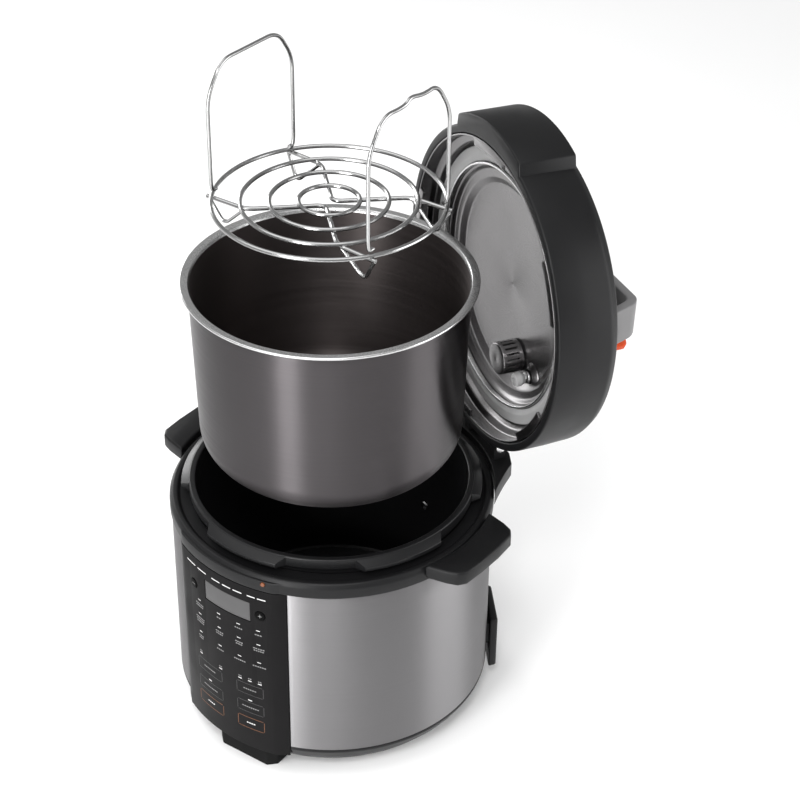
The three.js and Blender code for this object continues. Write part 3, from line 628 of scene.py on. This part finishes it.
def upper_ring():
    top = RING_HIGH.z
    seam = WRAP_HIGH.z + SEAM
    ring = turned("upper_ring_shell", [
        (133.4, RING_LOW.z), (135.4, RING_LOW.z), (135.4, seam), (RING_RADIUS, seam),
        (RING_RADIUS, top - 4), (135.9, top), (131.6, top), (129.6, top - 2.5),
        (118.6, top - 2.5), (118.6, top - 6.5), (130.6, top - 6.5), (133.4, top - 9.5),
    ], 1.1)
    brow_back = arc(136, PANEL_MIDDLE + 25, PANEL_MIDDLE - 25)
    brow = prism("brow", [*panel_outline(), *brow_back], seam, top - 3, 1.2)
    slot = sector("slot", 131.8, 145, 47, 105, 196.9, 202.1)
    angle, height, radius = INDICATOR
    lens_hole = radial_rod("hole", angle, height, radius + 0.4, 136, 142)
    finish(cut(add(ring, brow), slot, lens_hole), BLACK, "black_plastic", "base", "upper_housing_ring")
    lens = radial_rod("indicator_dome", angle, height, radius, 137.7, 141.3, 0.8)
    finish(lens, AMBER, "orange_plastic", "base", "indicator_lens")


def lug_outline(middle):
    return [polar(118, middle - 19), polar(121.8, middle - 19), polar(126.5, middle - 16.6),
            *arc(LUG_RADIUS + 2, middle - 15.2, middle + 15.2), polar(126.5, middle + 16.6),
            polar(121.8, middle + 19), *arc(118, middle + 19, middle - 19)]


def well():
    top = FLANGE_TOP
    shell = turned("well_shell", [
        (30, 40), (112, 40), (117.8, 46), (117.8, 205), (121.4, 209), (121.4, top - 0.8), (120.6, top),
        (WELL_RADIUS + 0.8, top), (WELL_RADIUS, top - 1), (WELL_RADIUS, 47), (111, 42), (30, 42),
    ], 0.7)
    lugs = []
    for i in range(LUG_COUNT):
        outline = lug_outline(FIRST_LUG + LUG_PITCH * i)
        lug = prism("lug", outline, 205, 222)
        slope = turned("slope", [(118.6, 209.2), (LUG_RADIUS, 209.2), (LUG_RADIUS, 213), (121.4, top - 0.6),
                                 (118.6, top - 0.6)], 0.5)
        lugs.append(combine(slope, [lug], "INTERSECT"))
    finish(merge("well_coated", [shell, *lugs]), WELL_COAT, "well_metal", "base", "outer_pot")


def bottom_cover():
    seam = WRAP_LOW.z - SEAM
    bowl = turned("bottom_cover_shell", [
        (0, 0), (118, 0), (122, 1.5), (131, 12), (BODY_RADIUS, 22), (BODY_RADIUS, seam), (135.4, seam),
        (135.4, 33), (133.4, 33), (133.4, 24), (120, 5), (116, 2.5), (0, 2.5),
    ], 1.2)
    half = PANEL_HALF_ANGLE + PANEL_GAP
    front = sector("front", 130, 150, PANEL_MIDDLE - half, PANEL_MIDDLE + half, 14, 40)
    holes = [rod("hole", (*polar(100, a), -1), (*polar(100, a), 4), 2.4) for a in (-140, -40, 50, 130)]
    finish(cut(bowl, front, *holes), BLACK, "black_plastic", "base", "bottom_cover")


def radial_rod(name, angle, height, radius, inner, outer, bevel=0.0):
    start, end = (*polar(inner, angle), height), (*polar(outer, angle), height)
    return rod(name, start, end, radius, bevel=bevel)


def control_panel():
    inner = arc(136, PANEL_MIDDLE + PANEL_HALF_ANGLE, PANEL_MIDDLE - PANEL_HALF_ANGLE)
    panel = prism("panel_face", [*panel_outline(), *inner], PANEL_LOW.z, PANEL_HIGH.z, 0.8)
    window = sector("window", 132, 143, DISPLAY["from"], DISPLAY["to"], DISPLAY["bottom"], DISPLAY["top"])
    holes = [radial_rod("hole", angle, height, KEY_HOLE_RADIUS, 132, 143)
             for angle, height in KEYS.values()]
    finish(cut(panel, window, *holes), PANEL, "panel_plastic", "base", "control_panel")


def display_window():
    d = DISPLAY
    pane = sector("display_pane", 137, PANEL_RADIUS - 0.3, d["from"] + 0.17, d["to"] - 0.17,
                  d["bottom"] + 0.4, d["top"] - 0.4, 0.35)
    finish(pane, DISPLAY_GREY, "display_grey", "base", "display_window")


def panel_keys():
    """Round keys, each with its sign raised a hair."""
    for node, body in (("minus_key", "minus"), ("plus_key", "plus")):
        angle, height = KEYS[node]
        cap = radial_rod(f"{body}_key_cap", angle, height, KEY_RADIUS, 135.2, PANEL_RADIUS + 0.5, 0.5)
        finish(cap, KEY_BLACK, "key_black", body, node)
        bars = [curved_bar(angle, height, 3.6, 0.55, 0.55)]
        if body == "plus":
            bars.append(curved_bar(angle, height, 0.55, 3.6, 0.55))
        finish(merge(f"{body}_key_sign", bars), GREY_INK, "key_black", body)


def curved_bar(angle, height, width, tall, proud=0.04):
    """A thin printed bar on the panel's face, centred at an angle and a height."""
    half = math.degrees(width / 2 / PANEL_RADIUS)
    radius = PANEL_RADIUS + proud
    return sector("bar", radius - 0.3, radius, angle - half, angle + half,
                  height - tall / 2, height + tall / 2)


def outline_bars(angle, height, width, tall, line=0.5):
    """A printed frame of four bars, left open at its corners."""
    shift = math.degrees(width / 2 / PANEL_RADIUS)
    return [
        curved_bar(angle, height + tall / 2, width - 1.6, line),
        curved_bar(angle, height - tall / 2, width - 1.6, line),
        curved_bar(angle - shift, height, line, tall - 1.6),
        curved_bar(angle + shift, height, line, tall - 1.6),
    ]


def label(angle, height, width):
    """A line of short dashes where the panel has a word."""
    count = max(2, round(width / 2.1))
    pitch = math.degrees(width / count / PANEL_RADIUS)
    first = angle - pitch * (count - 1) / 2
    return [curved_bar(first + i * pitch, height, 0.72 * width / count, 1.15) for i in range(count)]


def panel_printing():
    """Generic bars and dashes where the panel has marks and words."""
    white, grey, dim, orange = [], [], [], []
    for start, end in ((-110.6, -105.4), (-104.0, -99.4), (-96.5, -92.7), (-91.5, -87.9), (-86.9, -83.3),
                       (-81.2, -78.2), (-77.3, -74.2)):
        white.append(curved_bar((start + end) / 2, 183, math.radians(end - start) * PANEL_RADIUS, 1.0))
    rows = (148.8, 133.8, 114.2)
    lines = ((2, 1, 1, 1), (3, 2, 2, 2), (2, 1, 1, 1))
    widths = ((11, 5, 8, 7), (12, 9, 8, 11), (7, 8, 12, 13))
    for row, height in enumerate(rows):
        for column, angle in enumerate((-104.0, -93.9, -85.2, -77.4)):
            white.append(curved_bar(angle, height, 3.5, 0.7))
            for line in range(lines[row][column]):
                grey += label(angle, height - 4.6 - 2.3 * line, widths[row][column] - line)
    for angle, height in ((-104.6, 92), (-94.2, 90.5), (-85.4, 92), (-81.4, 92.5), (-77.5, 92.5)):
        grey += label(angle, height, 3.6)
        white.append(curved_bar(angle, height - 2.4, 3.4, 0.9))
    left, right = (-100.1, 31), (-81.6, 26)
    framed = ((left, 78.5, 15), (left, 57.5, 18), (right, 80.2, 13), (right, 60, 17))
    for (angle, width), height, word in framed:
        dim += outline_bars(angle, height, width, 11.5, 0.35)
        grey += label(angle, height, word)
    white.append(curved_bar(left[0], 65.8, 4, 0.9))
    white.append(curved_bar(right[0], 68.2, 4, 0.9))
    for (angle, width), height in ((left, 40.5), (right, 42)):
        orange += outline_bars(angle, height, width, 12, 0.5)
        white += label(angle, height, 9)
    finish(merge("panel_print_white", white), WHITE_INK, "panel_plastic", "base")
    finish(merge("panel_print_grey", grey), GREY_INK, "panel_plastic", "base")
    finish(merge("panel_print_dim", dim), DIM_INK, "panel_plastic", "base")
    finish(merge("panel_print_orange", orange), ORANGE_INK, "panel_plastic", "base")


def side_handles():
    reach = HANDLE_HIGH.x
    tip = [(150, 41), (159, 37.5), (163.5, 31), (reach, 12)]
    outline = [*[(x, -y) for x, y in tip], *reversed(tip), *arc(RING_RADIUS + 0.6, 19, -19)]
    for side, angle in (("right", 0), ("left", 180)):
        tab = prism(f"handle_{side}_grip", outline, HANDLE_LOW.z, HANDLE_HIGH.z, 2.2)
        finish(spun(tab, angle), BLACK, "black_plastic", "base", f"side_handle_{side}")


def heating_plate():
    top = PLATE_TOP
    plate = turned("heating_plate_casting", [
        (16, top - 7), (88, top - 7), (88, 42.4), (92, 42.4), (92, top - 7), (98, top - 7), (100, top - 5),
        (100, top - 1.5), (98, top), (16, top),
    ], 0.8)
    finish(plate, CAST, "cast_aluminium", "base", "heating_plate")


def feet():
    """Two blocks cut to the cover's underside, and four round pads."""
    cover = turned("cover", [
        (0, -0.4), (118.2, -0.4), (122.4, 1.2), (131.5, 11.7), (135, 17), (0, 17),
    ], 0.01, 96)
    for node, angle in (("front_foot", -177.5), ("rear_foot", 2.5)):
        outline = [(-31, 108), (31, 108), (31, 125), (24, 131.8), (-24, 131.8), (-31, 125)]
        tool = new_object("tool", cover.data.copy())
        foot = cut(prism(f"{node}_block", outline, FEET_BOTTOM, 13, 1.4), tool)
        finish(spun(foot, angle), RUBBER, "rubber_black", "base", node)
    bpy.data.objects.remove(cover)
    for node, angle in (("foot_right_front", -14), ("foot_right_rear", 22), ("foot_left_rear", 158),
                        ("foot_left_front", 194)):
        pad = turned(f"{node}_pad", [
            (0, FEET_BOTTOM), (8.2, FEET_BOTTOM), (9, FEET_BOTTOM + 1), (9, -0.4), (0, -0.4),
        ], 0.6, 48)
        finish(shifted(pad, *polar(PAD_RING_RADIUS, angle)), RUBBER, "rubber_black", "base", node)


def mains_inlet():
    plate = prism("inlet_plate", [(-26, 137.8), (26, 137.8), (24, 145), (-24, 145)], 10, 64, 2.0)
    body = add(plate, block("neck", (-21, 21), (122, 138.5), (35, 57)))
    body = cut(body, block("socket", (-14, 14), (128, 150), (38, 54)))
    finish(spun(body, INLET_TURN), BLACK, "black_plastic", "base", "power_inlet")


def condensate_cup():
    outline = [(-21, 138.8), (21, 138.8), (21, 156), (14, 163), (-14, 163), (-21, 156)]
    hollow = [(-19.2, 140.6), (19.2, 140.6), (19.2, 155.2), (13.2, 161.2), (-13.2, 161.2), (-19.2, 155.2)]
    wall = prism("cup_wall", outline, 120, 179.2, 0.8)
    flange = block("flange", (-23.8, 23.8), (139, 152), (178.8, 180.8))
    cup = cut(add(wall, flange), prism("hollow", hollow, 121.8, 188.4))
    finish(spun(cup, CUP_TURN), SMOKY, "clear_plastic", "collector", "condensation_collector")


# --------------------------------------------------------------------------------------------------
# Pot and rack
# --------------------------------------------------------------------------------------------------

def inner_pot():
    """A deep drawn pot with a rolled rim: metal outside, a dark coating inside, a polished rim."""
    bottom, top = POT_LOW.z, POT_HIGH.z
    rim, body, wall, corner = POT_HIGH.x, 113.6, 1.6, 30
    middle = 109.7 - corner

    def round_corner(radius):
        angles = [3.75 * i for i in range(25)]
        return [(middle + radius * math.sin(math.radians(a)),
                 bottom + corner - radius * math.cos(math.radians(a))) for a in angles]

    profile = [
        (0, bottom), *round_corner(corner), (body, top - 9.2), (body, top - 4.6), (114.6, top - 2.7),
        (rim - 0.4, top - 2.4), (rim, top - 0.8), (rim - 0.8, top), (body, top - 0.6),
        (body - wall, top - 3.2), (body - wall, top - 9.2), *reversed(round_corner(corner - wall)),
        (0, bottom + wall),
    ]
    pot = turned("inner_pot_bowl", profile, 0.5, FINER, 40)
    pot.data.materials.append(POT_OUTSIDE)
    pot.data.materials.append(POT_INSIDE)
    pot.data.materials.append(BRIGHT)
    for face in pot.data.polygons:
        centre = face.center / MM
        radius = math.hypot(centre.x, centre.y)
        inward = centre.x * face.normal.x + centre.y * face.normal.y < 0
        floor = centre.z < bottom + corner and face.normal.z > 0
        if centre.z > top - 3.0:
            face.material_index = 2
        elif floor or (inward and radius < body - 0.5):
            face.material_index = 1
    finish(pot, POT_OUTSIDE, "pot_metal", "pot", "inner_pot")


def rack():
    """Four rings on two crossing wires, with four V legs below."""
    plane = GRID_HIGH.z - 1.6
    outer = GRID_HIGH.x - THICK_WIRE
    pitch = (outer - 24) / 3
    wires = []
    for i in range(4):
        ring = [(*polar(outer - i * pitch, 3.75 * k), plane) for k in range(96)]
        wires.append(tube("ring", ring, THICK_WIRE, closed=True))
    low = plane - 2.8
    for side in (1, -1):
        path = bent([(-83, side * 49, low), (-45, side * 47, low), (0, side * 4, low), (45, side * 47, low),
                     (83, side * 49, low)], 8)
        wires.append(tube("cross", path, THICK_WIRE))
        for along in (1, -1):
            path = bent([(along * 46, side * 46, low + 0.4), (along * 70, side * 45, plane - 25),
                         (along * 82, side * 49, low + 0.4)], 7)
            wires.append(tube("leg", path, THIN_WIRE))
    finish(merge("rack_wires", wires), WIRE, "wire_steel", "rack", "rack_grid")


def rack_loops():
    """Two lifting loops, the right one with a wavy top."""
    foot = LOOP_LOW.z + THIN_WIRE
    height = 105
    wavy = [(0, -7, height - 3), (0, 0, height + 2), (0, 16, height - 2)]
    for side, sign, top in (("left", -1, []), ("right", 1, wavy)):
        half = [(0, -44.5, 0), (0, -50.5, 0), (0, -50.5, height - 27), (0, -33.5, height - 1)]
        points = [*half, *top, *[(x, -y, z) for x, y, z in reversed(half)]]
        path = [p + Vector((sign * 77, 0, foot)) for p in bent(points, 12)]
        loop = tube(f"loop_{side}_wire", path, THIN_WIRE)
        finish(loop, WIRE, "wire_steel", f"{side}_loop", f"rack_handle_{side}")


# --------------------------------------------------------------------------------------------------
# Lid, drawn closed and then carried to the open place
# --------------------------------------------------------------------------------------------------

def on_lid(piece, material, slot, body="lid", *nodes):
    return finish(moved(piece, LID_PLACE), material, slot, body, *nodes)


def pin_bore(height):
    """The tool that clears the hinge pin's way."""
    return rod("bore", (-PIN_BORE_REACH, PIVOT_RADIUS, height), (PIN_BORE_REACH, PIVOT_RADIUS, height),
               PIN_BORE_RADIUS)


def lid_holes(bottom, top):
    """The tools for the holes where the steam valve and the float pass through the lid."""
    return [rod("hole", (*centre, bottom), (*centre, top), radius)
            for centre, radius in ((VALVE, VALVE_HOLE_RADIUS), (FLOAT, FLOAT_HOLE_RADIUS))]


def visor_outline():
    """The raised front of the lid's side in plan: fullest in its middle, with sloping ends."""
    steps = 32
    crest = []
    for i in range(steps + 1):
        across = 2 * i / steps - 1
        crest.append(polar(VISOR_RADIUS - VISOR_FALL * across ** 2, VISOR_MIDDLE + across * VISOR_HALF_ANGLE))
    end = VISOR_HALF_ANGLE + 2.5
    near = polar(LID_RADIUS - 1, VISOR_MIDDLE - end)
    far = polar(LID_RADIUS - 1, VISOR_MIDDLE + end)
    return [near, *crest, far, *arc(133, VISOR_MIDDLE + end, VISOR_MIDDLE - end)]


def lid_shell():
    shell = turned("lid_cover", [
        (0, LID_CROWN - 2.5), (40, LID_CROWN - 3.5), (98, LID_BAND + 5), (127, LID_BAND),
        (131.4, LID_BAND - 6), (130.6, 0), (LID_RADIUS, 0), (LID_RADIUS, 24), (LID_RADIUS - 1, LID_BAND - 4),
        (LID_RADIUS - 5, LID_BAND + 3), (100, LID_CROWN - 4), (40, LID_CROWN - 1), (0, LID_CROWN),
    ], 2.0, FINER)
    visor = prism("visor", visor_outline(), 0, LID_BAND - 1, 1.6)
    y, z = PIVOT_RADIUS, PIVOT_ABOVE_RIM
    barrel = rod("barrel", (-BARREL_REACH, y, z), (BARREL_REACH, y, z), KNUCKLE_RADIUS)
    arm = block("arm", (-BARREL_REACH, BARREL_REACH), (134, y), (z - 5, z + 5))
    shell = cut(add(shell, visor, barrel, arm), pin_bore(z), *lid_holes(40, 80))
    on_lid(shell, BLACK, "black_plastic", "lid", "lid_shell")


def pressed_lid():
    plate = turned("lid_pressing", [
        (0, 30), (85, 28), (91, 23.5), (98, 23.5), (101, 19.5), (119, 19.5), (122, 13), (128.6, 11),
        (128.6, 0), (130, 0), (130, 13), (123.4, 15.4), (120, 21.5), (102.4, 21.5), (99.2, 25.7), (92, 25.7),
        (86, 30.2), (0, 32.2),
    ], 1.4, FINER)
    hooks = [sector("hook", 122.4, 129.4, a - 12, a + 12, 0, 2.7, 0.5) for a in (-92, -27, 38, 103, 183)]
    hooked = merge("lid_pressing_hooked", [cut(plate, *lid_holes(15, 40)), *hooks])
    on_lid(hooked, LID_METAL, "lid_metal", "lid", "pressure_lid")


def seal():
    lip = [(105, 17), (110, 15.4), (117.6, 15.6), (118.2, 17), (118.2, 19.1), (105, 19.1)]
    on_lid(turned("seal_lip", lip, 0.6), SILICONE, "silicone", "lid", "sealing_ring")
    wire = turned("seal_wire", [(102.6, 15), (104.4, 15), (104.4, 19.1), (102.6, 19.1)], 0.5)
    on_lid(wire, BRIGHT, "wire_steel", "lid", "seal_rack")


def shield():
    """The slotted cap over the steam pipe's mouth."""
    cup = turned("shield_cap", [
        (0, 8), (13, 8), (14, 9), (14, 27.6), (12.4, 27.6), (12.4, 10), (0, 10),
    ], 0.6, 72)
    slots = [spun(block("slot", (-20, 20), (-0.9, 0.9), (12, 24)), 20 * i) for i in range(9)]
    cup = shifted(cut(cup, *slots), *VALVE)
    on_lid(cup, LID_METAL, "lid_metal", "shield", "anti_block_shield")


def steam_valve():
    """A round cap with a lever, and the orange pointer at the lever's end."""
    cap = turned("cap", [(8, 66), (16, 66), (16, 90), (13, 96), (0, 97), (0, 72), (8, 72)], 1.2, 72)
    along, across = VALVE_TIP[0] - VALVE[0], VALVE_TIP[1] - VALVE[1]
    turn = math.degrees(math.atan2(across, along))
    reach = math.hypot(along, across) - 10
    lever = spun(block("lever", (6, reach), (-6, 6), (86, 95), 1.5), turn)
    valve = shifted(merge("valve_cap", [cap, lever]), *VALVE)
    on_lid(valve, BLACK, "black_plastic", "valve", "steam_release_valve")
    outline = [(0, -8), (8, -8), (14, -4), (14, 4), (8, 8), (0, 8)]
    tip = shifted(prism("valve_pointer", outline, *TIP_HEIGHTS, 1.6), reach + 0.4, 0)
    tip = shifted(spun(tip, turn), *VALVE)
    on_lid(tip, ORANGE, "orange_plastic", "valve", "valve_tip")


def float_boss():
    """The small dome in the pressed lid where the float valve passes through."""
    dome = turned("boss", [(6.2, 24.6), (8, 25.6), (11, 27.6), (12.6, 29.4), (6.2, 29.4)], 1.6, 64)
    on_lid(shifted(dome, *FLOAT), LID_METAL, "lid_metal", "lid")


def float_parts():
    pin = turned("float_pin", [
        (0, 16), (2, 16), (2, 22), (5.4, 22), (5.4, 23.6), (3, 23.6), (3, 62), (0, 63),
    ], 0.4, 48)
    cap = turned("float_cap", [(2.4, 10), (5.6, 11), (6.2, 16), (4, 20), (2.4, 20)], 0.5, 48)
    for piece, material, slot, node in ((pin, BRIGHT, "wire_steel", "float_valve"),
                                        (cap, SILICONE, "silicone", "float_seal")):
        on_lid(shifted(piece, *FLOAT), material, slot, "float", node)


def bridge_handle():
    """A strap that bridges the lid, drawn flat in side view and stood up."""
    outside = [(105, 61.2), (94, 92), (86, 99), (-86, 99), (-94, 92), (-105, 61.2)]
    right_inside = [(85, 91), (95, 66.5), (88, 66.5), (88, 61.2)]
    left_inside = [(-x, z) for x, z in reversed(right_inside)]
    outline = rounded([*outside, *left_inside, *right_inside], 6, 5)
    near, far = BRIDGE_MIDDLE - BRIDGE_HALF_WIDTH, BRIDGE_MIDDLE + BRIDGE_HALF_WIDTH
    bridge = prism("bridge_grip", outline, -far, -near, 1.6)
    bridge.data.transform(Matrix.Rotation(math.pi / 2, 4, "X"))
    on_lid(bridge, GREY, "handle_grey", "lid", "lid_handle")


def lid_carrier():
    """The shoe that rides round the base, with the two knuckles of the hinge."""
    half = [(139, 31), (142, 26), (148, 20), (156.5, 14.5), (158.5, 9)]
    right = [polar(r, 90 - a) for r, a in half]
    left = [polar(r, 90 + a) for r, a in reversed(half)]
    inner = arc(139, 121, 59)[1:-1]
    shoe = prism("carrier_shoe", [*right, *left, *inner], HANDLE_LOW.z, HANDLE_HIGH.z, 1.8)
    tongue = sector("tongue", 133, 140, 78.5, 101.5, 197.5, 201.5)
    y, z = PIVOT_RADIUS, PIVOT.z
    knuckles = []
    near, far = KNUCKLE_SPAN
    for start, end in ((near, far), (-far, -near)):
        knuckles.append(block("web", (start, end), (y - 5.2, y + 5.2), (HANDLE_HIGH.z - 3, z)))
        knuckles.append(rod("knuckle", (start, y, z), (end, y, z), KNUCKLE_RADIUS))
    carrier = cut(add(shoe, tongue, *knuckles), pin_bore(z))
    turn = math.degrees(math.atan2(PIVOT.y, PIVOT.x)) - 90
    finish(spun(carrier, turn), BLACK, "black_plastic", "carrier", "lid_carrier")
    heads = [rod("head", (s * (far + 0.4), y, z), (s * (far + 2.4), y, z), 4.4, bevel=0.4) for s in (1, -1)]
    pin = merge("hinge_rod", [rod("shaft", (-far - 1, y, z), (far + 1, y, z), PIN_RADIUS), *heads])
    finish(spun(pin, turn), BRIGHT, "wire_steel", "carrier", "hinge_pin")


# --------------------------------------------------------------------------------------------------
# Studio
# --------------------------------------------------------------------------------------------------

CAMERA_AZIMUTH = 36.46          # degrees round from the front, towards the right
CAMERA_ELEVATION = 34.27
CAMERA_ROLL = 0.73
CAMERA_LENS = 91.1
CAMERA_DISTANCE = 1679.3
AIM_ASIDE = 57                  # how far the point looked at lies to the camera's right
AIM_HEIGHT = 291.8

FLOOR_REACH = 20000
WORLD_STRENGTH = 0.38
OVERHEAD_STRENGTH = 1.55
OVERHEAD_SPREAD = 70
LIGHT_TARGET = (0, 0, 0.2)      # metres, as are the lights' places below
RING_LIGHTS = (
    # name, direction, distance from the axis, height, size, power
    ("front_strip", -83, 1.5, 0.6, (0.42, 1.2), 22),
    ("right_softbox", 26, 1.6, 0.6, (1.0, 1.2), 15),
    ("left_softbox", 161, 1.6, 0.6, (0.4, 1.2), 9),
    ("camera_side", -54, 1.3, 1.7, (0.35, 0.35), 11),
)


def camera():
    """A long lens from the front right, looking down on the open cooker."""
    azimuth, elevation = math.radians(CAMERA_AZIMUTH), math.radians(CAMERA_ELEVATION)
    target = Vector((AIM_ASIDE * math.cos(azimuth), AIM_ASIDE * math.sin(azimuth), AIM_HEIGHT))
    back = Vector((math.sin(azimuth) * math.cos(elevation), -math.cos(azimuth) * math.cos(elevation),
                   math.sin(elevation)))
    roll = Quaternion((0, 0, 1), math.radians(CAMERA_ROLL))
    data = bpy.data.cameras.new("camera")
    data.lens = CAMERA_LENS
    data.sensor_width = 36
    data.clip_end = 20
    view = new_object("camera", data)
    view.location = (target + back * CAMERA_DISTANCE) * MM
    view.rotation_mode = "QUATERNION"
    view.rotation_quaternion = (-back).to_track_quat("-Z", "Y") @ roll
    bpy.context.scene.camera = view


def ring_light(name, direction, reach, height, size, power):
    """A soft light on a circle round the cooker, facing the middle of the base."""
    data = bpy.data.lights.new(name, "AREA")
    data.shape = "RECTANGLE"
    data.size, data.size_y = size
    data.energy = power
    light = new_object(name, data)
    light.location = (*polar(reach, direction), height)
    light.rotation_euler = (Vector(LIGHT_TARGET) - light.location).to_track_quat("-Z", "Y").to_euler()


def studio():
    """A pale floor under large soft lights."""
    corners = [(x * FLOOR_REACH, y * FLOOR_REACH, 0) for x, y in ((-1, -1), (1, -1), (1, 1), (-1, 1))]
    floor = make("floor", corners, [(0, 1, 2, 3)])
    floor.location.z = cad_box[0].z
    pale = Paint("pale_floor", (0.93, 0.93, 0.93), 0.6)
    pale.vary_roughness(pale.noise(3), 0.55, 0.65)
    floor.data.materials.append(pale.material)
    world = bpy.data.worlds.new("studio")
    world.use_nodes = True
    background = world.node_tree.nodes["Background"]
    background.inputs["Color"].default_value = (1, 1, 1, 1)
    background.inputs["Strength"].default_value = WORLD_STRENGTH
    bpy.context.scene.world = world
    sun = bpy.data.lights.new("overhead", "SUN")
    sun.energy = OVERHEAD_STRENGTH
    sun.angle = math.radians(OVERHEAD_SPREAD)
    overhead = new_object("overhead", sun)
    overhead.rotation_euler = (math.radians(14), math.radians(-10), 0)
    for light in RING_LIGHTS:
        ring_light(*light)
    bpy.context.scene.view_settings.view_transform = "Standard"


# --------------------------------------------------------------------------------------------------
# Making everything
# --------------------------------------------------------------------------------------------------

camera()
studio()
paint_frame()
steel_wrap()
upper_ring()
well()
bottom_cover()
control_panel()
display_window()
panel_keys()
panel_printing()
side_handles()
heating_plate()
feet()
mains_inlet()
condensate_cup()
inner_pot()
rack()
rack_loops()
lid_shell()
pressed_lid()
seal()
shield()
steam_valve()
float_boss()
float_parts()
bridge_handle()
lid_carrier()
